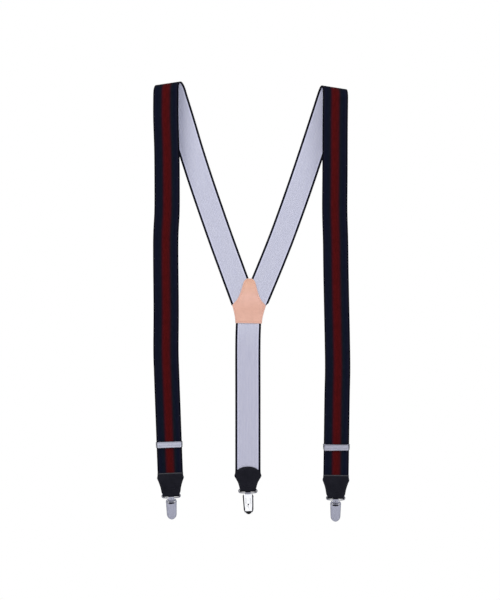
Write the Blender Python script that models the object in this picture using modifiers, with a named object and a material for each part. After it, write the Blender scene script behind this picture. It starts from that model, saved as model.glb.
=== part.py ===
"""Y-back clip suspenders, hanging from the shoulders.

World frame: +X to the wearer's left as seen from the front, +Y towards the back, +Z up.
The origin lies midway between the tops of the two shoulder folds. Lengths are in metres.
"""
from math import acos, atan2, cos, degrees, pi, radians, sin, sqrt, tan

import bmesh
import bpy
from mathutils import Matrix, Vector

MM = 0.001
GAP = 0.3 * MM  # clearance between pieces that touch on the real object

# Webbing
WEBBING_WIDTH = 35 * MM
WEBBING_THICK = 1.3 * MM
FOLD_RADIUS = 12 * MM  # middle of the webbing where it turns over the shoulder
FRONT_DEPTH = -FOLD_RADIUS
BACK_DEPTH = FOLD_RADIUS
FOLD_STEPS = 16
LOWER_TOP = -250 * MM  # height where the adjustable end of a front strap begins
LOOP_STEPS = 6

# Leather
LEATHER_THICK = 1.4 * MM
LINING_THICK = 1.2 * MM

# Tab bar, inside the leather, that the webbing turns round
TAB_BAR_RADIUS = 1.0 * MM
TAB_LOOP_RADIUS = TAB_BAR_RADIUS + GAP + WEBBING_THICK / 2

# D-ring
RING_WIRE = 0.85 * MM
RING_HALF_WIDTH = 12.6 * MM
RING_DROP = 5.5 * MM  # upper bar to the middle of the lower bar
RING_FOLD_RADIUS = RING_WIRE + GAP + 0.05 * MM + LEATHER_THICK / 2

# Adjuster
ADJUSTER_RISE = 46 * MM  # adjuster centre above the tab bar
CHEEK_THICK = 0.55 * MM
CHEEK_INNER = WEBBING_WIDTH / 2 + 0.25 * MM
CHEEK_HALF_HEIGHT = 3.9 * MM
REAR_BAR_RADIUS = 0.8 * MM
REAR_LOOP_RADIUS = REAR_BAR_RADIUS + GAP + WEBBING_THICK / 2
REAR_BAR_DEPTH = WEBBING_THICK + GAP + REAR_LOOP_RADIUS
LID_WIDTH = 34 * MM
LID_HEIGHT = 8.8 * MM
LID_THICK = 0.8 * MM
LID_DEPTH = -3.35 * MM
LID_PIN_RADIUS = 0.45 * MM
LID_PIN_DEPTH = -2.25 * MM
LID_PIN_RISE = 2.6 * MM

# Clip, measured from the ring's lower bar: +Y to its back plate, -Y to its lever
CLIP_SHEET = 0.7 * MM
EYE_RADIUS = RING_WIRE + GAP + 0.15 * MM + CLIP_SHEET / 2
EYE_HALF_WIDTH = 3.5 * MM
PLATE_DEPTH = EYE_RADIUS
PLATE_TOP = -2.4 * MM
PLATE_BOTTOM = -25.4 * MM
PLATE_TOP_HALF = 6.4 * MM
PLATE_BOTTOM_HALF = 5.5 * MM
PIN_RADIUS = 0.7 * MM
PIN_HOLE = PIN_RADIUS + GAP
PIN_DEPTH = -3.4 * MM
PIN_HEIGHT = -5.2 * MM
PIN_HALF_LENGTH = 7.6 * MM
LUG_RADIUS = 1.5 * MM
EAR_X = 5.5 * MM
LEVER_THICK = 0.8 * MM
LEVER_DEPTH = -5.6 * MM
LEVER_HALF_WIDTH = 7.2 * MM
LEVER_BOTTOM = -29 * MM
FLANGE_X = 6.7 * MM
JAW_DEPTH = -0.95 * MM
JAW_ARM_X = 4.1 * MM
PAD_THICK = 1.3 * MM
PAD_DEPTH = 0.35 * MM
RIVET_HEIGHT = -15.6 * MM
RIVET_RADIUS = 0.8 * MM
RIVET_HOLE = RIVET_RADIUS + GAP
SPRING_WIRE = 0.3 * MM
SPRING_RADIUS = 1.45 * MM
SPRING_TURNS = 3
SPRING_HALF_WIDTH = 1.6 * MM
SPRING_PLATE_LEG = (0.75 * MM, -9.6 * MM)  # depth and height of each leg's end
SPRING_JAW_LEG = (-3.2 * MM, -11.5 * MM)

# Front straps: (x, z) along the middle of the webbing, from the fold to the adjustable end
SIDES = {
    "left": {
        "lean": radians(2.1),
        "fold_tilt": radians(8.5),
        "fold_slip": 4.4 * MM,
        "fold_height": -10 * MM,
        "tab": (-111 * MM, -541 * MM),
        "front": [(-117.3, -10), (-117.4, -45), (-116, -90), (-115.6, -140), (-115.8, -175),
                  (-117.3, -205), (-117.5, -240), (-116.8, -310), (-116.8, -365)],
        "straight_top": -402 * MM,
        "rear": [(-107.3, -9.2), (-95.4, -47.5), (-83.1, -88.9), (-69.8, -130.3),
                 (-55.7, -171.7), (-41.2, -213.1), (-26.1, -254.5), (-9.4, -300)],
    },
    "right": {
        "lean": radians(-0.8),
        "fold_tilt": radians(-9),
        "fold_slip": -1.6 * MM,
        "fold_height": -15.4 * MM,
        "tab": (117 * MM, -544 * MM),
        "front": [(116.4, -15.4), (115.9, -60), (115.7, -120), (115.4, -172), (116.5, -215),
                  (117.1, -260), (118.1, -310), (118.9, -350), (119.4, -390)],
        "straight_top": -430 * MM,
        "rear": [(108.8, -14.6), (98.2, -47.5), (84.6, -88.9), (70.7, -130.3),
                 (56.2, -171.7), (41, -213.1), (24.4, -254.5), (5.4, -300)],
    },
}

# Back: the patch's apex, the lower back strap and its tab
PATCH_APEX = (-2 * MM, -266 * MM)
PATCH_LEAN = radians(-1.2)
PATCH_LENGTH = 62 * MM
BACK_STRAP_TOP = -317 * MM
RUN_END = BACK_STRAP_TOP + GAP
TRIM_TOP = -150 * MM  # well above the height where the two slanted runs meet
BACK_TAB = (-4.3 * MM, -538.5 * MM)
BACK_CLIP_LEAN = radians(2.5)  # this clip hangs a little askew on its ring

# Tabs: length below the bar, and half-width at each height, in falling order
FRONT_TAB_LENGTH = 25 * MM
BACK_TAB_LENGTH = 21.5 * MM
FRONT_TAB_SHAPE = [(h * MM, w * MM) for h, w in (
    (13, 17.6), (7, 17.6), (2, 17.9), (0, 18.4), (-3, 17.5), (-8, 15.6), (-13, 14.2),
    (-19, 13.2), (-20.8, 12.8), (-22, 11.5), (-22.5, 11.2))]
BACK_TAB_SHAPE = [(h * MM, w * MM) for h, w in (
    (13, 17.6), (7, 17.6), (2, 18.2), (0, 18.8), (-3, 17.3), (-8, 14.9), (-13, 13.2),
    (-17, 12.1), (-19, 11.2))]

NAVY = ("navy_webbing", (0.008, 0.010, 0.020), 0.85, 0.0)
BLACK_LEATHER = ("black_leather", (0.013, 0.013, 0.019), 0.5, 0.0)
PEACH_LEATHER = ("peach_lining", (0.75, 0.45, 0.37), 0.7, 0.0)
SATIN_STEEL = ("satin_steel", (0.48, 0.48, 0.52), 0.35, 1.0)
CHROME = ("chrome", (0.8, 0.8, 0.82), 0.12, 1.0)
RUBBER = ("black_rubber", (0.01, 0.01, 0.01), 0.7, 0.0)


def clear_scene():
    for obj in list(bpy.data.objects):
        bpy.data.objects.remove(obj, do_unlink=True)


def new_collection(name):
    collection = bpy.data.collections.new(name)
    bpy.context.scene.collection.children.link(collection)
    return collection


clear_scene()
PARTS = new_collection("suspenders")
CUTTERS = new_collection("cutters")


def finish(obj, look, parent=None, matrix=None):
    """Gives a piece its material and its place under a parent."""
    name, colour, roughness, metallic = look
    material = bpy.data.materials.get(name)
    if material is None:
        material = bpy.data.materials.new(name)
        material.use_nodes = True
        shader = material.node_tree.nodes["Principled BSDF"]
        shader.inputs["Base Color"].default_value = (*colour, 1)
        shader.inputs["Roughness"].default_value = roughness
        shader.inputs["Metallic"].default_value = metallic
    obj.data.materials.append(material)
    obj.parent = parent
    obj.matrix_basis = matrix or Matrix.Identity(4)
    return obj


def empty(name, parent, location, lean=0.0, turn=0.0):
    """A named axis: leans about Y, and turns about Z."""
    obj = bpy.data.objects.new(name, None)
    PARTS.objects.link(obj)
    obj.parent = parent
    turned = Matrix.Rotation(turn, 4, "Z")
    obj.matrix_basis = Matrix.Translation(location) @ Matrix.Rotation(-lean, 4, "Y") @ turned
    return obj


def facing_front(depth):
    """Turns an outline drawn in XY into the XZ plane, at a depth."""
    return Matrix.Translation((0, depth, 0)) @ Matrix.Rotation(pi / 2, 4, "X")


def facing_side(x):
    """Turns an outline drawn as (depth, height) into the YZ plane at x."""
    columns = ((0, 0, 1, x), (1, 0, 0, 0), (0, 1, 0, 0), (0, 0, 0, 1))
    return Matrix(columns)


def circle(centre, radius, count=16):
    turn = 2 * pi / count
    return [
        (centre[0] + radius * cos(i * turn), centre[1] + radius * sin(i * turn))
        for i in range(count)
    ]


def flat_piece(name, outlines, thickness, look, parent, matrix):
    """A sheet cut to one outline, less any further outlines as holes."""
    curve = bpy.data.curves.new(name, "CURVE")
    curve.dimensions = "2D"
    curve.fill_mode = "BOTH"
    curve.extrude = thickness / 2
    for outline in outlines:
        spline = curve.splines.new("POLY")
        spline.points.add(len(outline) - 1)
        for point, (x, y) in zip(spline.points, outline):
            point.co = (x, y, 0, 1)
        spline.use_cyclic_u = True
    obj = bpy.data.objects.new(name, curve)
    PARTS.objects.link(obj)
    return finish(obj, look, parent, matrix)


def wire(name, points, radius, look, parent, closed=False, roundness=2):
    """A round wire through points. Roundness is how finely its section is rounded."""
    curve = bpy.data.curves.new(name, "CURVE")
    curve.dimensions = "3D"
    curve.bevel_depth = radius
    curve.bevel_resolution = roundness
    curve.use_fill_caps = not closed
    spline = curve.splines.new("POLY")
    spline.points.add(len(points) - 1)
    for point, place in zip(spline.points, points):
        point.co = (*place, 1)
    spline.use_cyclic_u = closed
    obj = bpy.data.objects.new(name, curve)
    PARTS.objects.link(obj)
    return finish(obj, look, parent)


def rod(name, radius, length, look, parent, centre):
    """A round bar along X."""
    mesh = bpy.data.meshes.new(name)
    bar = bmesh.new()
    turned = Matrix.Rotation(pi / 2, 4, "Y")
    bmesh.ops.create_cone(bar, cap_ends=True, segments=16, radius1=radius, radius2=radius,
                          depth=length, matrix=turned)
    bar.to_mesh(mesh)
    bar.free()
    obj = bpy.data.objects.new(name, mesh)
    PARTS.objects.link(obj)
    return finish(obj, look, parent, Matrix.Translation(centre))


def sheet(name, rows, thickness, look, parent):
    """A thick sheet through rows of points: an open surface, thickened both ways."""
    mesh = bpy.data.meshes.new(name)
    surface = bmesh.new()
    grid = [[surface.verts.new(point) for point in row] for row in rows]
    for upper, lower in zip(grid, grid[1:]):
        for i in range(len(upper) - 1):
            surface.faces.new((upper[i], lower[i], lower[i + 1], upper[i + 1]))
    surface.to_mesh(mesh)
    surface.free()
    obj = bpy.data.objects.new(name, mesh)
    PARTS.objects.link(obj)
    solid = obj.modifiers.new("thickness", "SOLIDIFY")
    solid.thickness = thickness
    solid.offset = 0
    solid.use_even_offset = True
    return finish(obj, look, parent)


def as_mesh(obj):
    """The same piece as a mesh with welded caps, so that it can be joined."""
    bpy.context.view_layer.update()
    evaluated = obj.evaluated_get(bpy.context.evaluated_depsgraph_get())
    mesh = bpy.data.meshes.new_from_object(evaluated)
    welded = bmesh.new()
    welded.from_mesh(mesh)
    bmesh.ops.remove_doubles(welded, verts=welded.verts, dist=1e-6)
    bmesh.ops.recalc_face_normals(welded, faces=welded.faces)
    welded.to_mesh(mesh)
    welded.free()
    name, parent, matrix = obj.name, obj.parent, obj.matrix_basis.copy()
    bpy.data.objects.remove(obj, do_unlink=True)
    made = bpy.data.objects.new(name, mesh)
    PARTS.objects.link(made)
    made.parent = parent
    made.matrix_basis = matrix
    return made


def unite(base, *others):
    """Joins pieces of one stamped part into a single body."""
    base = as_mesh(base)
    for other in others:
        other = as_mesh(other)
        other.hide_render = True
        other.display_type = "WIRE"
        PARTS.objects.unlink(other)
        CUTTERS.objects.link(other)
        joined = base.modifiers.new("join", "BOOLEAN")
        joined.operation = "UNION"
        joined.solver = "EXACT"
        joined.object = other
    return base


def arc(centre, radius, start, end, steps):
    """Points on an arc in a plane, angles in degrees."""
    turns = [radians(start + (end - start) * i / steps) for i in range(steps + 1)]
    return [(centre[0] + radius * cos(a), centre[1] + radius * sin(a)) for a in turns]


def smooth(t):
    t = min(max(t, 0.0), 1.0)
    return t * t * (3 - 2 * t)


def strip_outline(path, width, top_tilt=0.0):
    """The outline of a flat strip along a path, its top end cut at a tilt."""
    left, right = [], []
    for i, (x, z) in enumerate(path):
        before, after = path[max(i - 1, 0)], path[min(i + 1, len(path) - 1)]
        run = Vector((after[0] - before[0], after[1] - before[1])).normalized()
        across = Vector((-run.y, run.x)) * width / 2
        if i == 0:
            tilted = Vector((cos(top_tilt), sin(top_tilt)))
            across = tilted * (width / 2) / (tilted @ across.normalized())
        left.append((x - across.x, z - across.y))
        right.append((x + across.x, z + across.y))
    return left + right[::-1]


def in_mm(points):
    return [(x * MM, z * MM) for x, z in points]


# ---------------------------------------------------------------- webbing


def lower_line(side):
    """The straight adjustable end of a front strap, down to the tab bar."""
    x, z = SIDES[side]["tab"]
    top = SIDES[side]["straight_top"]
    return [(x - (top - z) * tan(SIDES[side]["lean"]), top), (x, z)]


def front_webbing(side):
    """The front run in two lengths: the fixed one, and the one that adjusts."""
    path = in_mm(SIDES[side]["front"]) + lower_line(side)
    tilt = SIDES[side]["fold_tilt"]
    above = [p for p in path if p[1] > LOWER_TOP]
    below = [p for p in path if p[1] < LOWER_TOP]
    share = (above[-1][1] - LOWER_TOP) / (above[-1][1] - below[0][1])
    joint_x = above[-1][0] + share * (below[0][0] - above[-1][0])
    above[0] = (above[0][0], above[0][1] - GAP)
    upper = strip_outline(above + [(joint_x, LOWER_TOP + GAP / 2)], WEBBING_WIDTH, tilt)
    lower = strip_outline([(joint_x, LOWER_TOP - GAP / 2)] + below, WEBBING_WIDTH)
    place = facing_front(FRONT_DEPTH)
    flat_piece(f"webbing_{side}_front", [upper], WEBBING_THICK, NAVY, None, place)
    flat_piece(f"webbing_{side}_front_lower", [lower], WEBBING_THICK, NAVY, None, place)


def shoulder_fold(side):
    """The webbing over the shoulder: a strip that turns round a tilted axis."""
    data = SIDES[side]
    tilt, slip = data["fold_tilt"], data["fold_slip"]
    along = Vector((cos(tilt), 0, sin(tilt)))
    up = Vector((-sin(tilt), 0, cos(tilt)))
    start = Vector((data["front"][0][0] * MM, 0, data["fold_height"]))
    rows = []
    for i in range(FOLD_STEPS + 1):
        angle = pi * i / FOLD_STEPS
        shift = FOLD_RADIUS * angle * tan(tilt) + slip * smooth(2 * angle / pi - 1)
        middle = start + along * shift + up * FOLD_RADIUS * sin(angle)
        middle.y = -FOLD_RADIUS * cos(angle)
        half = along * WEBBING_WIDTH / 2 / cos(tilt)
        rows.append((middle - half, middle + half))
    sheet(f"webbing_{side}_shoulder", rows[::-1], WEBBING_THICK, NAVY, None)


def rear_webbing(side):
    """A slanted back run, cut off on the middle of the patch and above the lower strap."""
    data = SIDES[side]
    path = in_mm(data["rear"])
    path[0] = (path[0][0], path[0][1] - GAP)
    last, before = path[-1], path[-2]
    slope = (last[0] - before[0]) / (last[1] - before[1])
    path.append((last[0] + slope * (RUN_END - last[1]), RUN_END))
    run = strip_outline(path, WEBBING_WIDTH, data["fold_tilt"])
    piece = flat_piece(f"webbing_{side}_rear", [run], WEBBING_THICK, NAVY, None,
                       facing_front(BACK_DEPTH))
    piece = as_mesh(piece)
    sign = 1 if side == "left" else -1
    reach = 100 * MM
    middle = PATCH_APEX[0]
    beyond = [(middle - sign * GAP / 2, TRIM_TOP), (middle - sign * GAP / 2, RUN_END),
              (middle - sign * reach, RUN_END), (middle - sign * reach, RUN_END - reach),
              (middle + sign * reach, RUN_END - reach), (middle + sign * reach, TRIM_TOP)]
    cutter = flat_piece(f"trim_{side}_rear", [beyond], 4 * WEBBING_THICK, NAVY, None,
                        facing_front(BACK_DEPTH))
    cutter = as_mesh(cutter)
    cutter.hide_render = True
    cutter.display_type = "WIRE"
    PARTS.objects.unlink(cutter)
    CUTTERS.objects.link(cutter)
    cut = piece.modifiers.new("mitre", "BOOLEAN")
    cut.operation = "DIFFERENCE"
    cut.solver = "EXACT"
    cut.object = cutter


def back_strap():
    x, z = BACK_TAB
    top_x = PATCH_APEX[0] + (BACK_STRAP_TOP - PATCH_APEX[1]) * -tan(PATCH_LEAN)
    path = [(top_x, BACK_STRAP_TOP), (x, BACK_STRAP_TOP - 40 * MM), (x, z - 12 * MM)]
    flat_piece("webbing_back_lower", [strip_outline(path, WEBBING_WIDTH)], WEBBING_THICK, NAVY,
               None, facing_front(BACK_DEPTH))


def return_webbing(side, frame):
    """The end of the front strap: round the tab bar, up behind, and over the adjuster's bar."""
    bar, rise = TAB_LOOP_RADIUS, ADJUSTER_RISE
    rear = REAR_BAR_DEPTH
    path = arc((bar, 0), bar, 180, 360, LOOP_STEPS)
    path[0] = (0, -GAP)
    path += [(2 * bar, rise * 0.55), (rear + REAR_LOOP_RADIUS, rise * 0.8)]
    path += arc((rear, rise), REAR_LOOP_RADIUS, 0, 180, LOOP_STEPS)
    path += [(rear - REAR_LOOP_RADIUS, rise - 4 * MM),
             (2 * bar - WEBBING_THICK - GAP, rise - 13 * MM)]
    half = WEBBING_WIDTH / 2
    rows = [(Vector((-half, y, z)), Vector((half, y, z))) for y, z in path]
    sheet(f"webbing_{side}_return", rows, WEBBING_THICK, NAVY, frame)


# ---------------------------------------------------------------- leather


def patch():
    """The leather patch where the straps meet, and its lining on the wearer's side."""
    half = [(0, 0), (4.5, -0.7), (7.6, -3.2), (8.6, -7), (9.6, -13), (12, -21), (16.2, -29.5),
            (23, -37), (18.2, -62)]
    frame = empty("patch_frame", None, (PATCH_APEX[0], BACK_DEPTH, PATCH_APEX[1]), PATCH_LEAN)
    right = in_mm(half)
    outline = right + [(-x, z) for x, z in right[:0:-1]]
    outer = WEBBING_THICK / 2 + GAP + LEATHER_THICK / 2
    inner = -(WEBBING_THICK / 2 + GAP + LINING_THICK / 2)
    flat_piece("patch_outer", [outline], LEATHER_THICK, BLACK_LEATHER, frame,
               facing_front(outer))
    flat_piece("patch_lining", [outline], LINING_THICK, PEACH_LEATHER, frame,
               facing_front(inner))


def between(table, value):
    """Straight-line reading of a table of (position, value) in falling order of position."""
    for (high, first), (low, second) in zip(table, table[1:]):
        if value >= low:
            share = min(max((high - value) / (high - low), 0), 1)
            return first + share * (second - first)
    return table[-1][1]


def folded_tab(name, frame, length, stack, shape, outer_side):
    """A leather tab in one piece, folded round the ring's upper bar.

    stack is the depth of the two faces from the webbing where they hold it, and outer_side
    is -1 or 1, the way the straight-topped face looks.
    """
    columns = [u / 4 for u in range(-4, 5)]
    front, back = stack
    axis = (front + back) / 2
    fold = -length + RING_FOLD_RADIUS + LEATHER_THICK / 2
    hold = -3 * MM
    straight_top, round_top, shoulder = 7 * MM, 12.5 * MM, 1.5 * MM

    def point(u, height, side):
        half = between(shape, height)
        spread = front if side < 0 else back
        share = smooth((height - fold) / (hold - fold))
        near = axis + side * RING_FOLD_RADIUS
        return Vector((u * half, near + share * (spread - near), height))

    def face(side):
        rows = []
        outer = side == outer_side
        for t in (0, 0.14, 0.3, 0.45, 0.6, 0.72, 0.86):
            row = []
            for u in columns:
                rounded = shoulder + (round_top - shoulder) * sqrt(max(1 - u * u, 0))
                top = straight_top if outer else rounded
                row.append(point(u, top + t * (fold - top), side))
            rows.append(row)
        return rows

    rows = face(-1)
    for turn in range(0, 181, 30):
        angle = radians(turn)
        half = between(shape, fold)
        depth = axis - RING_FOLD_RADIUS * cos(angle)
        rows.append([Vector((u * half, depth, fold - RING_FOLD_RADIUS * sin(angle)))
                     for u in columns])
    rows += face(1)[::-1]
    sheet(name, rows, LEATHER_THICK, BLACK_LEATHER, frame)
    return Vector((0, axis, fold))


# ---------------------------------------------------------------- adjuster


def adjuster(side, frame):
    """A slide on the front strap: a frame with a rear bar, and a hinged lid with a lip."""
    body = empty(f"adjuster_{side}_axis", frame, (0, 0, ADJUSTER_RISE))
    pin = (LID_PIN_DEPTH, LID_PIN_RISE)
    front, rear = LID_DEPTH, REAR_BAR_DEPTH + REAR_BAR_RADIUS + 0.3 * MM
    height = CHEEK_HALF_HEIGHT
    round_by = 1.2 * MM
    cheek = (arc((front + round_by, height - round_by), round_by, 180, 90, 3)
             + arc((rear - round_by, height - round_by), round_by, 90, 0, 3)
             + arc((rear - round_by, round_by - height), round_by, 0, -90, 3)
             + arc((front + round_by, round_by - height), round_by, -90, -180, 3))
    cheek_x = CHEEK_INNER + CHEEK_THICK / 2
    hole = circle(pin, LID_PIN_RADIUS + GAP, 12)
    cheeks = [
        flat_piece(f"adjuster_{side}_cheek_{i}", [cheek, hole], CHEEK_THICK, SATIN_STEEL, body,
                   facing_side(sign * cheek_x))
        for i, sign in enumerate((-1, 1))
    ]
    bar = rod(f"adjuster_{side}_frame", REAR_BAR_RADIUS, 2 * cheek_x, SATIN_STEEL, body,
              (0, REAR_BAR_DEPTH, 0))
    unite(bar, *cheeks)
    rod(f"adjuster_{side}_pin", LID_PIN_RADIUS, 2 * (cheek_x + CHEEK_THICK), SATIN_STEEL, body,
        (0, *pin))

    hinge = empty(f"adjuster_{side}_lid_axis", body, (0, *pin))
    adjuster_lid(side, hinge)


def adjuster_lid(side, hinge):
    """The visible bar, its end lugs round the pin, and the lip that grips the webbing."""
    depth = LID_DEPTH - LID_PIN_DEPTH
    top = LID_HEIGHT / 2 - LID_PIN_RISE
    half_width, half_height, corner = LID_WIDTH / 2, LID_HEIGHT / 2, 2 * MM
    middle = top - half_height
    outline = []
    for sx, sz, start in ((1, 1, 0), (-1, 1, 90), (-1, -1, 180), (1, -1, 270)):
        centre = (sx * (half_width - corner), middle + sz * (half_height - corner))
        outline += arc(centre, corner, start, start + 90, 4)
    plate = flat_piece(f"adjuster_{side}_lid", [outline], LID_THICK, SATIN_STEEL, hinge,
                       facing_front(depth))
    lug_radius = 0.95 * MM
    lug = arc((0, 0), lug_radius, -90, 90, 8)
    lug += [(depth, lug_radius), (depth, -lug_radius)]
    hole = circle((0, 0), LID_PIN_RADIUS + 0.2 * MM, 12)
    lugs = [
        flat_piece(f"adjuster_{side}_lug_{i}", [lug, hole], 0.8 * MM, SATIN_STEEL, hinge,
                   facing_side(sign * (half_width - 1.2 * MM)))
        for i, sign in enumerate((-1, 1))
    ]
    lip_bottom, lip_top = middle - half_height + 0.3 * MM, middle - half_height + 1.0 * MM
    reach = -LID_PIN_DEPTH - WEBBING_THICK / 2 - GAP
    lip = flat_piece(f"adjuster_{side}_lip",
                     [[(depth, lip_bottom), (reach, lip_bottom), (reach, lip_top),
                       (depth, lip_top)]],
                     LID_WIDTH - 6 * MM, SATIN_STEEL, hinge, facing_side(0))
    unite(plate, *lugs, lip)


# ---------------------------------------------------------------- clip


def ring_path():
    """A D-ring: a straight upper bar and a sagging lower one."""
    half = [(0, 0), (11.4, 0), (12.3, -0.4), (12.6, -1.3), (12.6, -2.9), (12, -4), (10.2, -4.7),
            (6.6, -5.2), (3.2, -5.45), (0, -5.5)]
    points = in_mm(half)
    loop = points + [(-x, z) for x, z in points[-2:0:-1]]
    return [(x, 0, z) for x, z in loop]


def lug(foot_depth, foot_top, foot_bottom):
    """A lug's side view, the pin at (0, 0): round the pin, with tangents to a foot on its plate."""
    reach = foot_depth - PIN_DEPTH
    top = Vector((abs(reach), foot_top - PIN_HEIGHT))
    bottom = Vector((abs(reach), foot_bottom - PIN_HEIGHT))
    start = atan2(top.y, top.x) + acos(LUG_RADIUS / top.length)
    end = atan2(bottom.y, bottom.x) - acos(LUG_RADIUS / bottom.length) + 2 * pi
    points = arc((0, 0), LUG_RADIUS, degrees(start), degrees(end), 10) + [bottom, top]
    return [(y if reach > 0 else -y, z) for y, z in points]


def lugs(name, x, thick, outline, look, parent, pin=(0, 0, 0)):
    """A pair of lugs, one each side, bored for a pin at this place in the parent's frame."""
    hole = circle((0, 0), PIN_HOLE)
    pair = []
    for i, sign in enumerate((-1, 1)):
        place = Matrix.Translation(pin) @ facing_side(sign * x)
        pair.append(flat_piece(f"{name}_lug_{i}", [outline, hole], thick, look, parent, place))
    return pair


def back_plate(name, body):
    """The back plate: a tapered sheet, an open eye for the ring and two ears for the pin."""
    corner = 1.2 * MM
    outline = [(-PLATE_TOP_HALF, PLATE_TOP - corner), (-PLATE_TOP_HALF + corner, PLATE_TOP),
               (PLATE_TOP_HALF - corner, PLATE_TOP), (PLATE_TOP_HALF, PLATE_TOP - corner),
               (PLATE_BOTTOM_HALF, PLATE_BOTTOM), (-PLATE_BOTTOM_HALF, PLATE_BOTTOM)]
    rivet_hole = circle((0, RIVET_HEIGHT), RIVET_HOLE)
    plate = flat_piece(f"{name}_back_plate", [outline, rivet_hole], CLIP_SHEET, CHROME, body,
                       facing_front(PLATE_DEPTH))
    curl = [(PLATE_DEPTH - 0.05 * MM, PLATE_TOP - 1.5 * MM), (PLATE_DEPTH - 0.05 * MM, PLATE_TOP)]
    curl += arc((0, 0), EYE_RADIUS, -50, -310, 14)
    rows = [(Vector((-EYE_HALF_WIDTH, y, z)), Vector((EYE_HALF_WIDTH, y, z))) for y, z in curl]
    eye = sheet(f"{name}_eye", rows, CLIP_SHEET, CHROME, body)
    ears = lugs(f"{name}_ear", EAR_X, 0.6 * MM, lug(PLATE_DEPTH, -3.4 * MM, -9.5 * MM), CHROME,
                body, (0, PIN_DEPTH, PIN_HEIGHT))
    unite(plate, eye, *ears)


def lever(name, body, axis):
    """The front lever: a plate with a notched top and a round foot, hinged on two flanges."""
    half, bottom = LEVER_HALF_WIDTH, LEVER_BOTTOM
    rounding = 8 * MM
    horn_top, horn_inner, notch = -3.9 * MM, 5.3 * MM, -8.2 * MM
    foot = [(half * cos(a), bottom + rounding - rounding * sin(a))
            for a in (pi * i / 16 for i in range(17))]
    cut = [(horn_inner * cos(a), notch + (horn_top - 1 * MM - notch) * (1 - sin(a)))
           for a in (pi * i / 8 for i in range(8, -1, -1))]
    outline = foot + [(-half, horn_top - 0.6 * MM), (-half + 0.6 * MM, horn_top),
                      (-horn_inner, horn_top)]
    outline += cut + [(horn_inner, horn_top), (half - 0.6 * MM, horn_top),
                      (half, horn_top - 0.6 * MM)]
    place = Matrix.Translation((0, -PIN_DEPTH, -PIN_HEIGHT))
    plate = flat_piece(f"{name}_lever", [outline], LEVER_THICK, SATIN_STEEL, axis,
                       place @ facing_front(LEVER_DEPTH))
    flanges = lugs(f"{name}_lever", FLANGE_X, 0.6 * MM, lug(LEVER_DEPTH, -4.2 * MM, -11 * MM),
                   SATIN_STEEL, axis)
    unite(plate, *flanges)


def jaw(name, axis):
    """The inner jaw: a plate on two arms round the pin, with a rubber pad on its face."""
    top, bottom, half, rounding = -10.5 * MM, -27.8 * MM, 4.6 * MM, 4 * MM
    foot = [(half * cos(a), bottom + rounding - rounding * sin(a))
            for a in (pi * i / 12 for i in range(13))]
    outline = foot + [(-half, top), (half, top)]
    place = Matrix.Translation((0, -PIN_DEPTH, -PIN_HEIGHT))
    plate = flat_piece(f"{name}_jaw", [outline], CLIP_SHEET, SATIN_STEEL, axis,
                       place @ facing_front(JAW_DEPTH))
    arms = lugs(f"{name}_jaw", JAW_ARM_X, 0.9 * MM, lug(JAW_DEPTH, -10.8 * MM, -14 * MM),
                SATIN_STEEL, axis)
    unite(plate, *arms)
    pad_half, pad_top, pad_bottom = 3.2 * MM, -18.5 * MM, -28.3 * MM
    pad = (arc((0, pad_bottom + pad_half), pad_half, 180, 360, 10)
           + arc((0, pad_top - pad_half), pad_half, 0, 180, 10))
    flat_piece(f"{name}_grip_pad", [pad], PAD_THICK, RUBBER, axis,
               place @ facing_front(PAD_DEPTH))


def spring(name, body):
    """A torsion spring round the pin, one leg towards the back plate and one over the jaw."""
    half = SPRING_HALF_WIDTH
    per_turn = 10
    count = SPRING_TURNS * per_turn
    points = [(-half, *SPRING_PLATE_LEG)]
    for i in range(count + 1):
        angle = -pi / 2 + 2 * pi * i / per_turn
        points.append((-half + 2 * half * i / count, PIN_DEPTH + SPRING_RADIUS * cos(angle),
                       PIN_HEIGHT + SPRING_RADIUS * sin(angle)))
    points.append((half, *SPRING_JAW_LEG))
    wire(f"{name}_spring", points, SPRING_WIRE, SATIN_STEEL, body, roundness=1)


def rivet(name, body):
    """A rivet flush with the plate's outer face, its head inside."""
    inner = PLATE_DEPTH - CLIP_SHEET / 2 - GAP
    profile = [(0, PLATE_DEPTH + CLIP_SHEET / 2), (RIVET_RADIUS, PLATE_DEPTH + CLIP_SHEET / 2),
               (RIVET_RADIUS, inner), (2 * RIVET_RADIUS, inner),
               (2 * RIVET_RADIUS, inner - 0.25 * MM), (RIVET_RADIUS, inner - 0.5 * MM),
               (0, inner - 0.5 * MM)]
    mesh = bpy.data.meshes.new(f"{name}_rivet")
    turned = bmesh.new()
    points = [turned.verts.new((r, 0, h)) for r, h in profile]
    for first, second in zip(points, points[1:]):
        turned.edges.new((first, second))
    turned.to_mesh(mesh)
    turned.free()
    obj = bpy.data.objects.new(f"{name}_rivet", mesh)
    PARTS.objects.link(obj)
    screw = obj.modifiers.new("turn", "SCREW")
    screw.axis = "Z"
    screw.steps = screw.render_steps = 16
    screw.use_merge_vertices = True
    screw.merge_threshold = 1e-6
    lying = Matrix.Translation((0, 0, RIVET_HEIGHT)) @ Matrix.Rotation(-pi / 2, 4, "X")
    finish(obj, CHROME, body, lying)


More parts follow.
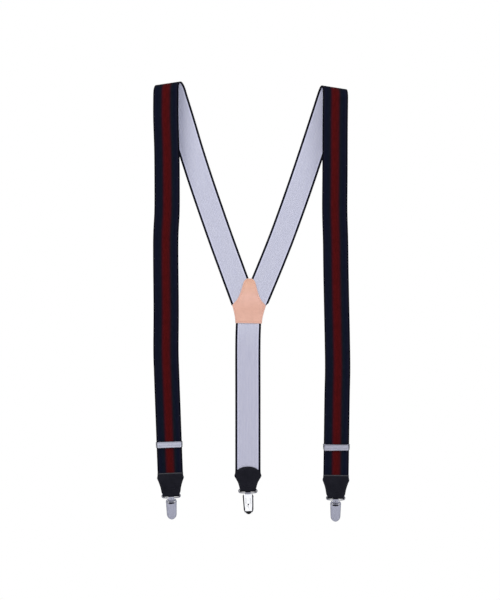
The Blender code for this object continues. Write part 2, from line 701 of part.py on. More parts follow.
def clip(name, frame, ring_axis, lean=0.0, turn=0.0):
    """A D-ring in a tab's fold, and the clip that hangs on it."""
    ring_frame = empty(f"{name}_ring_axis", frame, ring_axis, turn=turn)
    wire(f"{name}_ring", ring_path(), RING_WIRE, CHROME, ring_frame, closed=True)
    body = empty(f"{name}_axis", ring_frame, (0, 0, -RING_DROP), lean)
    back_plate(name, body)
    rod(f"{name}_pin", PIN_RADIUS, 2 * PIN_HALF_LENGTH, SATIN_STEEL, body,
        (0, PIN_DEPTH, PIN_HEIGHT))
    spring(name, body)
    rivet(name, body)
    lever(name, body, empty(f"{name}_lever_axis", body, (0, PIN_DEPTH, PIN_HEIGHT)))
    jaw(name, empty(f"{name}_jaw_axis", body, (0, PIN_DEPTH, PIN_HEIGHT)))


# ---------------------------------------------------------------- assembly

def front_side(side):
    data = SIDES[side]
    front_webbing(side)
    shoulder_fold(side)
    rear_webbing(side)
    x, z = data["tab"]
    frame = empty(f"tab_{side}_axis", None, (x, FRONT_DEPTH, z), data["lean"])
    return_webbing(side, frame)
    rod(f"tab_{side}_bar", TAB_BAR_RADIUS, WEBBING_WIDTH - 1 * MM, SATIN_STEEL, frame,
        (0, TAB_LOOP_RADIUS, 0))
    clear = WEBBING_THICK / 2 + GAP + LEATHER_THICK / 2
    stack = (-clear, 2 * TAB_LOOP_RADIUS + clear)
    ring_axis = folded_tab(f"tab_{side}", frame, FRONT_TAB_LENGTH, stack, FRONT_TAB_SHAPE, -1)
    adjuster(side, frame)
    clip(f"clip_{side}", frame, ring_axis)


def back_side():
    back_strap()
    patch()
    x, z = BACK_TAB
    frame = empty("tab_back_axis", None, (x, BACK_DEPTH, z))
    clear = WEBBING_THICK / 2 + GAP + LEATHER_THICK / 2
    ring_axis = folded_tab("tab_back", frame, BACK_TAB_LENGTH, (-clear, clear), BACK_TAB_SHAPE,
                           1)
    clip("clip_back", frame, ring_axis, -BACK_CLIP_LEAN, pi)


front_side("left")
front_side("right")
back_side()
bpy.context.view_layer.update()
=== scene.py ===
"""The look of Y-back clip suspenders around their CAD frame: webbing, leather, metal and stitches."""
from math import acos, atan2, cos, degrees, pi, radians, sin, sqrt, tan

import bmesh
import bpy
from mathutils import Matrix, Vector


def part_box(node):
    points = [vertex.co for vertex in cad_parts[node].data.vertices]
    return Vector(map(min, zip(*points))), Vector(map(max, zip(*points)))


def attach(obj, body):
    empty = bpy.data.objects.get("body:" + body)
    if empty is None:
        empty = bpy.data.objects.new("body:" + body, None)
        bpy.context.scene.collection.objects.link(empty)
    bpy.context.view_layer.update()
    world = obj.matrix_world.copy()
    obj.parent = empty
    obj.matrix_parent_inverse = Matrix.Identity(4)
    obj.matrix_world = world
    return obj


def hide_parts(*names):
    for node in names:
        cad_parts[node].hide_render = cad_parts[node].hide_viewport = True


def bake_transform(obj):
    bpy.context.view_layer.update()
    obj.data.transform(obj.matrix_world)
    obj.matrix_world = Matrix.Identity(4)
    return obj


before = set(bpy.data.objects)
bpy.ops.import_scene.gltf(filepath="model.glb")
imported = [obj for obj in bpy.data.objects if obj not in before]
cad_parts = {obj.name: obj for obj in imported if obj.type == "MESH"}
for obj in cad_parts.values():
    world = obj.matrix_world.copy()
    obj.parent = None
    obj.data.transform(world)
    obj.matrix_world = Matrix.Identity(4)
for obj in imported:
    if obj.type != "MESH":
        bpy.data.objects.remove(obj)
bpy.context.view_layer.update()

MM = 0.001
GAP = 0.3 * MM

WEBBING_WIDTH = 35 * MM
WEBBING_THICK = 1.3 * MM
FOLD_RADIUS = 12 * MM
LEATHER_THICK = 1.4 * MM

# The middle of each strap's webbing (x, z) in millimetres, from the fold down. Below its straight
# top the front run follows the tab's lean, where the adjuster travels.
STRAPS = {
    "left": {
        "lean": radians(2.1),
        "fold_tilt": radians(8.5),
        "fold_slip": 4.4 * MM,
        "fold_height": -10 * MM,
        "straight_top": -402,
        "tab": (-111, -541),
        "front": [(-117.3, -10), (-117.4, -45), (-116, -90), (-115.6, -140), (-115.8, -175),
                  (-117.3, -205), (-117.5, -240), (-116.9, -310), (-117.2, -365)],
        "rear": [(-107.3, -9.2), (-95.4, -47.5), (-83.1, -88.9), (-69.8, -130.3),
                 (-55.7, -171.7), (-41.2, -213.1), (-26.1, -254.5), (-9.4, -300)],
    },
    "right": {
        "lean": radians(-0.8),
        "fold_tilt": radians(-9),
        "fold_slip": -1.6 * MM,
        "fold_height": -15.4 * MM,
        "straight_top": -430,
        "tab": (117, -544),
        "front": [(116.4, -15.4), (115.9, -60), (115.7, -120), (115.4, -172), (116.5, -215),
                  (117.1, -260), (118.1, -310), (118.9, -350), (119.4, -390)],
        "rear": [(108.8, -14.6), (98.2, -47.5), (84.6, -88.9), (70.7, -130.3),
                 (56.2, -171.7), (41, -213.1), (24.4, -254.5), (5.4, -300)],
    },
}
FRONT, REAR = Vector((0, -1, 0)), Vector((0, 1, 0))
RUN_END = -316.7 * MM  # the rear runs end here, under the patch

# From a bar's middle to the middle of the webbing round it: the tab's bar, the adjuster's bar
TAB_LOOP = 1.0 * MM + GAP + WEBBING_THICK / 2
REAR_LOOP = 0.8 * MM + GAP + WEBBING_THICK / 2
REAR_BAR_DEPTH = WEBBING_THICK + GAP + REAR_LOOP
ADJUSTER_RISE = 46 * MM

# The patch hangs from its apex; its outline is given as (half-width, height) in millimetres
PATCH_APEX = Vector((-2 * MM, FOLD_RADIUS, -266 * MM))
PATCH_LEAN = radians(-1.2)
PATCH_HALF = [(3, -0.2), (5.2, -1.3), (7.4, -3.8), (9, -7.9), (10.1, -12.2), (11.6, -17.4),
              (13, -21.7), (14.8, -26), (17.4, -30.5), (21, -34.6), (23.4, -37.2)]
PATCH_SIDE = [(23.4, -37.2), (22.6, -40.5), (21, -46), (19.6, -52), (18.8, -57), (18.5, -62.2)]
MEETING_HEIGHT = -0.2  # below this the two rear runs may meet


# ---------------------------------------------------------------- shader nodes


def linear(*colour):
    """A colour given as 0 to 255 display values, in the renderer's linear values."""
    values = [c / 255 for c in colour]
    return (*[v / 12.92 if v <= 0.04045 else ((v + 0.055) / 1.055) ** 2.4 for v in values], 1)


class Nodes:
    """Makes and links the nodes of one shader tree. Values are sockets, numbers or colours."""

    def __init__(self, tree):
        self.tree = tree

    def node(self, kind, **settings):
        made = self.tree.nodes.new(f"ShaderNode{kind}")
        for key, value in settings.items():
            setattr(made, key, value)
        return made

    def link(self, source, target):
        self.tree.links.new(source, target)

    def fill(self, made, *values):
        """Feeds a node's first sockets, and gives its first output."""
        for socket, value in zip(made.inputs, values):
            if isinstance(value, (int, float, tuple)):
                socket.default_value = value
            else:
                self.link(value, socket)
        return made.outputs[0]

    def split(self, vector):
        made = self.node("SeparateXYZ")
        self.fill(made, vector)
        return made.outputs

    def maths(self, operation, *values):
        return self.fill(self.node("Math", operation=operation), *values)

    def mix(self, factor, first, second, blend="MIX"):
        return self.fill(self.node("MixRGB", blend_type=blend), factor, first, second)

    def ranged(self, value, start, end, low=0.0, high=1.0, **settings):
        """A value that runs from start to end, made to run from low to high."""
        return self.fill(self.node("MapRange", **settings), value, start, end, low, high)

    def ramp(self, value, stops):
        made = self.node("ValToRGB")
        elements = made.color_ramp.elements
        while len(elements) < len(stops):
            elements.new(0.5)
        for element, (position, colour) in zip(elements, stops):
            element.position = position
            element.color = colour
        return self.fill(made, value)


class Look(Nodes):
    """A node material under construction."""

    def __init__(self, name, roughness=0.5, metallic=0.0, specular=0.5):
        self.material = bpy.data.materials.new(name)
        self.material.use_nodes = True
        super().__init__(self.material.node_tree)
        self.shader = self.tree.nodes["Principled BSDF"]
        self.set("Roughness", roughness)
        self.set("Metallic", metallic)
        self.set("Specular IOR Level", specular)

    def set(self, socket, value):
        self.shader.inputs[socket].default_value = value

    def uv(self):
        return self.node("UVMap", uv_map="strip").outputs["UV"]

    def place(self):
        return self.node("TexCoord").outputs["Object"]

    def stretched(self, vector, scale):
        made = self.node("Mapping")
        made.inputs["Scale"].default_value = scale
        return self.fill(made, vector)

    def noise(self, vector, scale, detail):
        made = self.node("TexNoise")
        made.inputs["Scale"].default_value = scale
        made.inputs["Detail"].default_value = detail
        self.link(vector, made.inputs["Vector"])
        return made.outputs["Fac"]

    def tinted(self, factor, base, pattern, dark, light):
        """A colour multiplied, by this factor, by a pattern that runs from dark to light."""
        shade = self.ramp(pattern, [(0.3, (*dark, 1)), (0.7, (*light, 1))])
        return self.mix(factor, base, shade, "MULTIPLY")

    def mottled(self, pattern, dark, light):
        """Colours the surface by a pattern, between two display colours."""
        self.colour(self.ramp(pattern, [(0.3, linear(*dark)), (0.7, linear(*light))]))

    def colour(self, value):
        self.link(value, self.shader.inputs["Base Color"])

    def roughness(self, value, low, high):
        self.link(self.ranged(value, 0.0, 1.0, low, high), self.shader.inputs["Roughness"])

    def bump(self, height, strength, distance):
        made = self.node("Bump")
        made.inputs["Strength"].default_value = strength
        made.inputs["Distance"].default_value = distance
        self.link(height, made.inputs["Height"])
        self.link(made.outputs[0], self.shader.inputs["Normal"])


# ---------------------------------------------------------------- camera, light and floor

CAMERA_DISTANCE = 8.0
VIEW_HEIGHT = 0.828
VIEW_CENTRE = (-1.4 * MM, -295.9 * MM)


def set_camera():
    """A long lens straight in front of the suspenders."""
    data = bpy.data.cameras.new("camera")
    camera = bpy.data.objects.new("camera", data)
    bpy.context.scene.collection.objects.link(camera)
    camera.location = (VIEW_CENTRE[0], -CAMERA_DISTANCE, VIEW_CENTRE[1])
    camera.rotation_euler = (pi / 2, 0, 0)
    data.sensor_fit = "AUTO"
    data.sensor_width = 36
    data.lens = data.sensor_width * CAMERA_DISTANCE / VIEW_HEIGHT
    data.clip_end = 30
    bpy.context.scene.camera = camera


def area_light(name, location, size, power, colour):
    """A square light turned towards the middle of the suspenders."""
    data = bpy.data.lights.new(name, "AREA")
    data.shape = "SQUARE"
    data.size = size
    data.energy = power
    data.color = colour
    light = bpy.data.objects.new(name, data)
    bpy.context.scene.collection.objects.link(light)
    light.location = location
    middle = Vector((0, 0, -0.3))
    light.rotation_euler = (middle - light.location).to_track_quat("-Z", "Y").to_euler()


def set_world():
    """White to the camera; to the object, a studio with one large soft box in front of it."""
    world = bpy.data.worlds.new("studio")
    bpy.context.scene.world = world
    world.use_nodes = True
    world.node_tree.nodes.clear()
    nodes = Nodes(world.node_tree)
    _, depth, height = nodes.split(nodes.node("TexCoord").outputs["Generated"])
    room = nodes.ramp(nodes.ranged(height, -0.7, 0.8),
                      [(0.0, (0.32, 0.33, 0.36, 1)), (1.0, (0.95, 0.96, 1.0, 1))])
    ahead = nodes.ranged(depth, -0.68, -0.93, interpolation_type="SMOOTHSTEP")
    soft_box = nodes.mix(ahead, room, (2.75, 2.78, 2.85, 1))
    lit = nodes.fill(nodes.node("Background"), soft_box, 0.4)
    seen = nodes.fill(nodes.node("Background"), (1, 1, 1, 1), 1.0)
    to_camera = nodes.node("LightPath").outputs["Is Camera Ray"]
    shown = nodes.fill(nodes.node("MixShader"), to_camera, lit, seen)
    nodes.link(shown, nodes.node("OutputWorld").inputs[0])


def finished(drawn, name, outwards=True):
    """The mesh of what was drawn, with its faces turned outwards."""
    if outwards:
        bmesh.ops.recalc_face_normals(drawn, faces=drawn.faces)
    mesh = bpy.data.meshes.new(name)
    drawn.to_mesh(mesh)
    drawn.free()
    return mesh


def set_floor():
    """A round pale floor, wide enough for its edge to read as a horizon."""
    drawn = bmesh.new()
    bmesh.ops.create_circle(drawn, cap_ends=True, segments=128, radius=1.35)
    mesh = finished(drawn, "floor", outwards=False)
    floor = bpy.data.objects.new("floor", mesh)
    bpy.context.scene.collection.objects.link(floor)
    floor.location = (0, 0, -0.79)
    look = Look("floor_white", roughness=0.8)
    look.set("Base Color", (0.9, 0.9, 0.9, 1))
    mesh.materials.append(look.material)


set_camera()
set_world()
set_floor()
area_light("key", (-1.0, -1.6, 1.1), 1.2, 20, (1.0, 0.99, 0.97))
area_light("fill", (1.6, -1.8, 0.6), 1.4, 13, (0.96, 0.98, 1.0))
area_light("rim", (0.4, 2.4, 0.9), 1.2, 26, (1.0, 1.0, 1.0))
bpy.context.scene.view_settings.view_transform = "Standard"


# ---------------------------------------------------------------- materials

RIBS = 17  # ribs across the webbing's backing
THREADS = 30  # weft threads in one webbing width of length


def weave_height(look):
    """A plain weave, as a height and the place across the strip."""
    across, along, _ = look.split(look.uv())
    u = look.maths("SINE", look.maths("MULTIPLY", across, 2 * pi * 2 * RIBS))
    v = look.maths("SINE", look.maths("MULTIPLY", along, 2 * pi * THREADS))
    return look.maths("MULTIPLY", u, v), across


def webbing_outer():
    """Navy webbing with near-black edges and one dark red stripe with soft sides."""
    look = Look("webbing_striped", roughness=0.9, specular=0.05)
    look.set("Sheen Weight", 0.015)
    height, across = weave_height(look)
    navy, edge = linear(13, 17, 36), linear(3, 4, 14)
    stripes = look.ramp(across, [
        (0.0, edge), (0.042, edge), (0.06, linear(22, 23, 37)), (0.13, navy),
        (0.28, linear(15, 21, 33)), (0.325, linear(34, 15, 28)), (0.375, linear(70, 13, 20)),
        (0.43, linear(78, 11, 13)), (0.54, linear(75, 11, 12)), (0.62, linear(70, 13, 18)),
        (0.675, linear(38, 17, 25)), (0.72, linear(16, 23, 33)), (0.84, navy),
        (0.935, linear(24, 24, 38)), (0.955, edge), (1.0, edge)])
    tone = look.noise(look.stretched(look.uv(), (5, 1.3, 1)), 3.0, 3)
    shaded = look.tinted(0.45, stripes, tone, (0.6, 0.6, 0.6), (1.35, 1.35, 1.35))
    # painted highlight and shade: the weave's crests are painted lighter and its hollows darker
    threads = look.ramp(height, [(0.0, (0.72, 0.72, 0.74, 1)), (1.0, (1.2, 1.2, 1.2, 1))])
    look.colour(look.mix(0.5, shaded, threads, "MULTIPLY"))
    fuzz = look.noise(look.uv(), 160, 2)
    look.bump(look.maths("ADD", height, look.maths("MULTIPLY", fuzz, 0.8)), 0.45, 0.12 * MM)
    return look.material


def webbing_inner():
    """Pale ribbed backing between black edges, painted a little darker towards its lower end as
    shade.
    """
    look = Look("webbing_backing", roughness=0.9, specular=0.15)
    height, across = weave_height(look)
    pale, margin, edge = linear(200, 201, 218), linear(214, 215, 236), linear(9, 10, 24)
    bands = look.ramp(across, [
        (0.0, edge), (0.08, edge), (0.09, margin), (0.115, margin), (0.13, pale),
        (0.87, pale), (0.885, margin), (0.91, margin), (0.92, edge), (1.0, edge)])
    ribs = look.maths("SINE", look.maths("MULTIPLY", across, 2 * pi * RIBS))
    # painted shade: the hollows between the ribs are darker
    shade = look.ramp(ribs, [(0.0, (0.93, 0.935, 0.95, 1)), (0.8, (1.0, 1.0, 1.0, 1))])
    tone = look.noise(look.stretched(look.uv(), (9, 0.7, 1)), 2.2, 4)
    shaded_tone = look.tinted(0.5, shade, tone, (0.9, 0.9, 0.93), (1.04, 1.03, 1.0))
    # painted shade: below about z = -0.34 the backing is darkened
    _, _, height_above = look.split(look.place())
    painted_low_shade = look.ramp(look.ranged(height_above, -0.36, -0.33),
                       [(0.0, (0.925, 0.915, 0.93, 1)), (1.0, (1, 1, 1, 1))])
    shaded_tone = look.mix(1.0, shaded_tone, painted_low_shade, "MULTIPLY")
    look.colour(look.mix(1.0, bands, shaded_tone, "MULTIPLY"))
    both = look.maths("ADD", look.maths("MULTIPLY", ribs, 1.2), height)
    look.bump(both, 0.4, 0.1 * MM)
    return look.material


def webbing_selvedge():
    """The near-black edge, with the turns of the weft showing."""
    look = Look("webbing_selvedge", roughness=0.9, specular=0.1)
    _, along, _ = look.split(look.uv())
    turns = look.maths("SINE", look.maths("MULTIPLY", along, 2 * pi * THREADS))
    # painted highlight and shade: each weft turn is lighter on its crest and darker between
    look.colour(look.ramp(turns, [(0.0, linear(5, 6, 14)), (1.0, linear(13, 15, 28))]))
    look.bump(turns, 0.4, 0.12 * MM)
    return look.material


def black_leather():
    """Fine-grained leather, with broad patches a little smoother than the rest."""
    look = Look("black_leather", roughness=0.5, specular=0.06)
    place = look.place()
    grain = look.node("TexVoronoi", feature="F1")
    grain.inputs["Scale"].default_value = 1500
    look.link(place, grain.inputs["Vector"])
    pores = look.maths("POWER", grain.outputs["Distance"], 0.6)
    broad = look.noise(place, 90, 4)
    look.mottled(broad, (19, 19, 27), (28, 28, 36))
    look.roughness(broad, 0.42, 0.58)
    fine = look.noise(place, 2600, 2)
    look.bump(look.maths("ADD", pores, look.maths("MULTIPLY", fine, 0.5)), 0.3, 0.12 * MM)
    return look.material


def grained(name, roughness, specular, scale, dark, light, strength, distance):
    """A plain material whose grain gives both its colour and its relief."""
    look = Look(name, roughness=roughness, specular=specular)
    grain = look.noise(look.place(), scale, 3)
    look.mottled(grain, dark, light)
    look.bump(grain, strength, distance * MM)
    return look.material


def peach_lining():
    """Matt lining leather, its tone drifting a little down its length."""
    look = Look("peach_lining", roughness=0.75, specular=0.15)
    place = look.place()
    _, _, height = look.split(place)
    fall = look.ramp(look.ranged(height, -0.325, -0.268), [
        (0.0, linear(226, 178, 160)), (0.3, linear(224, 175, 157)),
        (0.6, linear(230, 183, 167)), (1.0, linear(226, 177, 152))])
    mottle = look.noise(place, 160, 4)
    look.colour(look.tinted(0.6, fall, mottle, (0.93, 0.92, 0.91), (1.05, 1.05, 1.05)))
    look.bump(look.noise(place, 1800, 3), 0.3, 0.1 * MM)
    return look.material


def metal(name, colour, low, high, brushed):
    """Plated steel with fine lengthwise brushing, and dull patches where it is handled."""
    look = Look(name, metallic=1.0)
    place = look.place()
    lines = look.noise(look.stretched(place, (2600, 2600, 160)), 1.0, 2)
    handled = look.noise(place, 220, 3)
    light = tuple(min(c * 1.12, 1.0) for c in colour[:3]) + (1,)
    dark = tuple(c * 0.86 for c in colour[:3]) + (1,)
    look.colour(look.ramp(look.mix(0.3, lines, handled), [(0.3, dark), (0.7, light)]))
    look.roughness(handled, low, high)
    look.bump(lines, brushed, 0.02 * MM)
    return look.material


def thread(name, dark, light):
    """Twisted sewing thread."""
    look = Look(name, roughness=0.7, specular=0.25)
    strands = look.noise(look.place(), 2500, 1)
    look.colour(look.ramp(strands, [(0.35, linear(*dark)), (0.65, linear(*light))]))
    look.bump(strands, 0.5, 0.06 * MM)
    return look.material


LOOKS = {
    "outer": webbing_outer(),
    "inner": webbing_inner(),
    "selvedge": webbing_selvedge(),
    "leather": black_leather(),
    "edge": grained("painted_leather_edge", 0.6, 0.2, 700, (8, 8, 14), (22, 22, 30), 0.3, 0.15),
    # painted highlight: the front tabs' top edge, painted lighter where light from above catches it
    "painted_highlight_edge": grained("leather_edge_painted_highlight", 0.6, 0.2, 700, (44, 44, 50), (70, 70, 76),
                         0.3, 0.15),
    "lining": peach_lining(),
    "lining_rim": grained("lining_rim", 0.8, 0.15, 1200, (214, 184, 176), (232, 206, 198),
                          0.4, 0.1),
    "satin": metal("satin_nickel", linear(164, 165, 180), 0.38, 0.52, 0.25),
    "adjuster": metal("adjuster_nickel", linear(163, 164, 178), 0.32, 0.46, 0.3),
    # painted light: the same nickel painted brighter, for the left adjuster as lit
    "adjuster_light": metal("adjuster_nickel_light", linear(178, 180, 194), 0.32, 0.46, 0.3),
    "chrome": metal("bright_nickel", linear(243, 243, 246), 0.1, 0.2, 0.05),
    "ring": metal("ring_nickel", linear(136, 136, 147), 0.15, 0.3, 0.1),
    # dark steel for the clips' knuckle and rivet, and painted shade: the dark lines of their rolled
    # edges, inner faces, lip, flanges and walls
    "dark_steel_painted_shade": metal("dark_steel_painted_shade", linear(34, 34, 40), 0.45, 0.65, 0.2),
    # painted shade: a darker steel, so that edges such as the adjuster frames and the plates' rims
    # read as dark outlines
    "steel": metal("shade_outline_steel", linear(84, 85, 94), 0.35, 0.5, 0.2),
    "rubber": grained("black_rubber", 0.75, 0.25, 1500, (14, 14, 16), (28, 28, 31), 0.4, 0.1),
    "black_thread": thread("black_thread", (10, 10, 16), (44, 44, 54)),
    "tan_thread": thread("tan_thread", (206, 158, 142), (236, 192, 176)),
}


# ---------------------------------------------------------------- shared shape tools


def smooth(t):
    """Eases from 0 to 1."""
    t = min(max(t, 0.0), 1.0)
    return t * t * (3 - 2 * t)


def rounded(t):
    """The height of a circle's edge over its middle line, for a radius of one."""
    return sqrt(max(1 - t * t, 0))


def spread(count):
    """Evenly stepped values from -1 to 1."""
    return [-1 + 2 * i / count for i in range(count + 1)]


def spline_through(points, step):
    """Evenly stepped points on a smooth curve through the given ones."""
    points = [Vector(p) for p in points]
    ends = [2 * points[0] - points[1]] + points + [2 * points[-1] - points[-2]]
    path = [points[0]]
    for i in range(len(points) - 1):
        a, b, c, d = ends[i:i + 4]
        count = max(int((c - b).length / step + 0.5), 1)
        for k in range(1, count + 1):
            t = k / count
            path.append(0.5 * ((2 * b) + (c - a) * t + (2 * a - 5 * b + 4 * c - d) * t * t
                               + (3 * b - a - 3 * c + d) * t * t * t))
    return path


def arc(centre, radius, start, end, steps):
    """Points on a circle, between two directions in degrees."""
    turns = [radians(start + (end - start) * i / steps) for i in range(steps + 1)]
    return [(centre[0] + radius * cos(a), centre[1] + radius * sin(a)) for a in turns]


def tab_frame(side):
    """A front tab's own frame: its webbing's middle at the bar, leaning with the strap."""
    x, z = STRAPS[side]["tab"]
    lean = Matrix.Rotation(-STRAPS[side]["lean"], 4, "Y")
    return Matrix.Translation((x * MM, -FOLD_RADIUS, z * MM)) @ lean


def weld(drawn):
    """Joins points that fell on each other, and drops the faces that closed up."""
    bmesh.ops.remove_doubles(drawn, verts=drawn.verts, dist=2e-6)
    bmesh.ops.dissolve_degenerate(drawn, edges=drawn.edges, dist=1e-6)


def add_object(name, mesh, looks, body, slot_name, *replaced):
    """Puts a finished mesh in the scene, on its body and with its looks."""
    piece = bpy.data.objects.new(name, mesh)
    bpy.context.scene.collection.objects.link(piece)
    for key in looks:
        mesh.materials.append(LOOKS[key])
    if body:
        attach(piece, body)
    if replaced:
        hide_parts(*replaced)
    return piece


def smooth_shade(mesh, angle):
    """Smooth shading, with the edges sharper than this angle kept sharp."""
    mesh.shade_smooth()
    mesh.set_sharp_from_angle(angle=radians(angle))


# ---------------------------------------------------------------- webbing

ACROSS = 48  # faces across one side of the webbing
FLAT = 0.485  # how far its flat sides reach from the middle, as a share of its width
ROLLED = ((0.4955, 0.62), (0.5, 0), (0.4955, -0.62))  # its edge, beyond that
RIB_HEIGHT = 0.035 * MM
STATION_STEP = 4 * MM


def section():
    """The webbing's cross-section: (across from -0.5 to 0.5, depth, side), with rolled edges."""
    points = []
    half = WEBBING_THICK / 2
    for i in range(ACROSS + 1):
        u = -FLAT + 2 * FLAT * i / ACROSS
        points.append((u, half + RIB_HEIGHT * sin(2 * pi * RIBS * 2 * (u + 0.5)), 0))
    points += [(u, depth * half, 2) for u, depth in ROLLED]
    for i in range(ACROSS + 1):
        u = FLAT - 2 * FLAT * i / ACROSS
        points.append((u, -half - 1.6 * RIB_HEIGHT * sin(2 * pi * RIBS * (u + 0.5)), 1))
    points += [(-u, -depth * half, 2) for u, depth in ROLLED]
    return points


SECTION = section()


def strip_mesh(name, stations, clamp=None):
    """Webbing swept through stations (middle, across, outward): across is a whole width long."""
    drawn = bmesh.new()
    layer = drawn.loops.layers.uv.new("strip")
    rings, lengths, run = [], [], 0.0
    for i, (middle, across, outward) in enumerate(stations):
        if i:
            run += (middle - stations[i - 1][0]).length
        lengths.append(run / WEBBING_WIDTH)
        ring = []
        for u, depth, _ in SECTION:
            place = middle + across * u + outward * depth
            ring.append(drawn.verts.new(clamp(place) if clamp else place))
        rings.append(ring)
    count = len(SECTION)
    for i in range(len(rings) - 1):
        for k in range(count):
            n = (k + 1) % count
            face = drawn.faces.new((rings[i][k], rings[i][n], rings[i + 1][n], rings[i + 1][k]))
            sides = (SECTION[k][2], SECTION[n][2])
            face.material_index = sides[0] if sides[0] == sides[1] else 2
            for loop, (u, v) in zip(face.loops, ((k, i), (n, i), (n, i + 1), (k, i + 1))):
                loop[layer].uv = (SECTION[u][0] + 0.5, lengths[v])
    for ring in (rings[0][::-1], rings[-1]):
        drawn.faces.new(ring).material_index = 2
    if clamp:
        weld(drawn)
    mesh = finished(drawn, name)
    smooth_shade(mesh, 50)
    return mesh


def webbing(name, stations, body, replaced, clamp=None, length=None):
    """A piece of webbing, with its three looks."""
    piece = add_object(name, strip_mesh(name, stations, clamp), ("outer", "inner", "selvedge"),
                       body, "navy_webbing", *replaced)
    if length is None:
        length = sum((b[0] - a[0]).length for a, b in zip(stations, stations[1:]))
    return piece


def flat_stations(path, depth, outward, tilt, wave):
    """Stations down a flat run. The first row lies along tilt and eases into the run."""
    stations = []
    run = 0.0
    whole = sum((b - a).length for a, b in zip(path, path[1:]))
    for i, point in enumerate(path):
        before, after = path[max(i - 1, 0)], path[min(i + 1, len(path) - 1)]
        if i:
            run += (point - path[i - 1]).length
        way = (after - before).normalized()
        square = atan2(way.x, -way.y)
        ease = smooth(run / (45 * MM))
        angle = tilt + (square - tilt) * ease
        across = Vector((cos(angle), 0, sin(angle))) * WEBBING_WIDTH / cos(angle - square)
        middle = Vector((point.x, depth + wave(run, whole), point.y))
        stations.append((middle, across, outward))
    return stations


def fold_stations(side):
    """The turn over the shoulder, from the front tangent to the rear one."""
    data = STRAPS[side]
    tilt, slip = data["fold_tilt"], data["fold_slip"]
    along = Vector((cos(tilt), 0, sin(tilt)))
    up = Vector((-sin(tilt), 0, cos(tilt)))
    start = Vector((data["front"][0][0] * MM, 0, data["fold_height"]))
    steps = 36
    stations = []
    for i in range(steps + 1):
        angle = pi * i / steps
        shift = FOLD_RADIUS * angle * tan(tilt) + slip * smooth(angle / pi)
        middle = start + along * shift + up * FOLD_RADIUS * sin(angle)
        middle.y = -FOLD_RADIUS * cos(angle)
        outward = up * sin(angle) + Vector((0, -cos(angle), 0))
        stations.append((middle, along * WEBBING_WIDTH / cos(tilt), outward))
    return stations


def calm(run, whole, lead, tail, tail_ease):
    """Keeps a wave out of the first part of a run and out of its last part."""
    return smooth(run / (lead * MM)) * smooth((whole - tail * MM - run) / (tail_ease * MM))


def front_wave(run, whole):
    """The slight bow of hanging webbing, gone where the adjuster travels."""
    return calm(run, whole, 60, 215, 90) * 0.7 * MM * sin(2 * pi * run / (210 * MM))


def rear_wave(run, whole):
    """The rear run's bow, gone where the patch holds it."""
    return calm(run, whole, 60, 70, 60) * 0.8 * MM * sin(2 * pi * run / (190 * MM) + 1)


def back_wave(run, whole):
    """The single rear strap's bow, gone at both of its ends."""
    return 0.6 * MM * sin(pi * run / whole) ** 2 * sin(2 * pi * run / (120 * MM))


def front_path(data):
    """The middle line of a front run, from the fold down to the tab bar."""
    tab_x, tab_z = data["tab"]
    top = data["straight_top"]
    knee_x = tab_x - (top - tab_z) * tan(data["lean"])
    straight = [(knee_x, top), ((knee_x + tab_x) / 2, (top + tab_z) / 2), (tab_x, tab_z)]
    return spline_through([Vector(p) * MM for p in data["front"] + straight], STATION_STEP)


def held_by_patch(side):
    """Keeps a rear run on its own side of the patch's middle, and inside its outline."""
    sign = 1 if side == "left" else -1
    limit = PATCH_APEX.x - sign * GAP / 2

    def clamp(place):
        if sign * (place.x - limit) > 0 and place.z < MEETING_HEIGHT:
            place.x = limit
        place.z = max(place.z, RUN_END)
        below = (place.z - PATCH_APEX.z) / MM
        if below < PATCH_HALF[-1][1] + 0.2:
            reach = (patch_half_width(below) - 0.9) * MM
            place.x = min(max(place.x, PATCH_APEX.x - reach), PATCH_APEX.x + reach)
        return place

    return clamp


def strap(side):
    """One side's webbing: the front run to the top of the fold, and the rest over the shoulder."""
    data = STRAPS[side]
    tilt = data["fold_tilt"]
    fold = fold_stations(side)
    crest = len(fold) // 2
    front = flat_stations(front_path(data), -FOLD_RADIUS, FRONT, tilt, front_wave)
    piece = webbing(f"strap_{side}_front", fold[:crest + 1][::-1] + front[1:], None,
                    (f"webbing_{side}_front", f"webbing_{side}_front_lower"))
    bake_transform(piece)
    down = [Vector(p) * MM for p in data["rear"]]
    # a little further the same way, to be cut off under the patch
    final = down[-1] + (down[-1] - down[-2]) * 0.55
    path = spline_through(down + [final], STATION_STEP)
    rear = flat_stations(path, FOLD_RADIUS, REAR, tilt, rear_wave)
    webbing(f"strap_{side}_rear", fold[crest:] + rear[1:], "root",
            (f"webbing_{side}_shoulder", f"webbing_{side}_rear"),
            held_by_patch(side))


def back_strap():
    """The single strap from the patch down to the back tab, no wider than the tab it enters."""
    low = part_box("webbing_back_lower")[0][2]
    top = RUN_END - GAP
    x_top, x_low = -3.1 * MM, BACK_TAB[0]
    path = spline_through([(x_top, top), (x_low, top - 40 * MM), (x_low, (top + low) / 2),
                           (x_low, low)], STATION_STEP)

    def clamp(place):
        height = (place.z - BACK_TAB[2]) / MM
        if height < -1:
            reach = (reading(BACK_TAB_SHAPE, height) - 1) * MM
            place.x = min(max(place.x, x_low - reach), x_low + reach)
        return place

    webbing("strap_back", flat_stations(path, FOLD_RADIUS, REAR, 0, back_wave), "root",
            ("webbing_back_lower",), clamp, top - low)


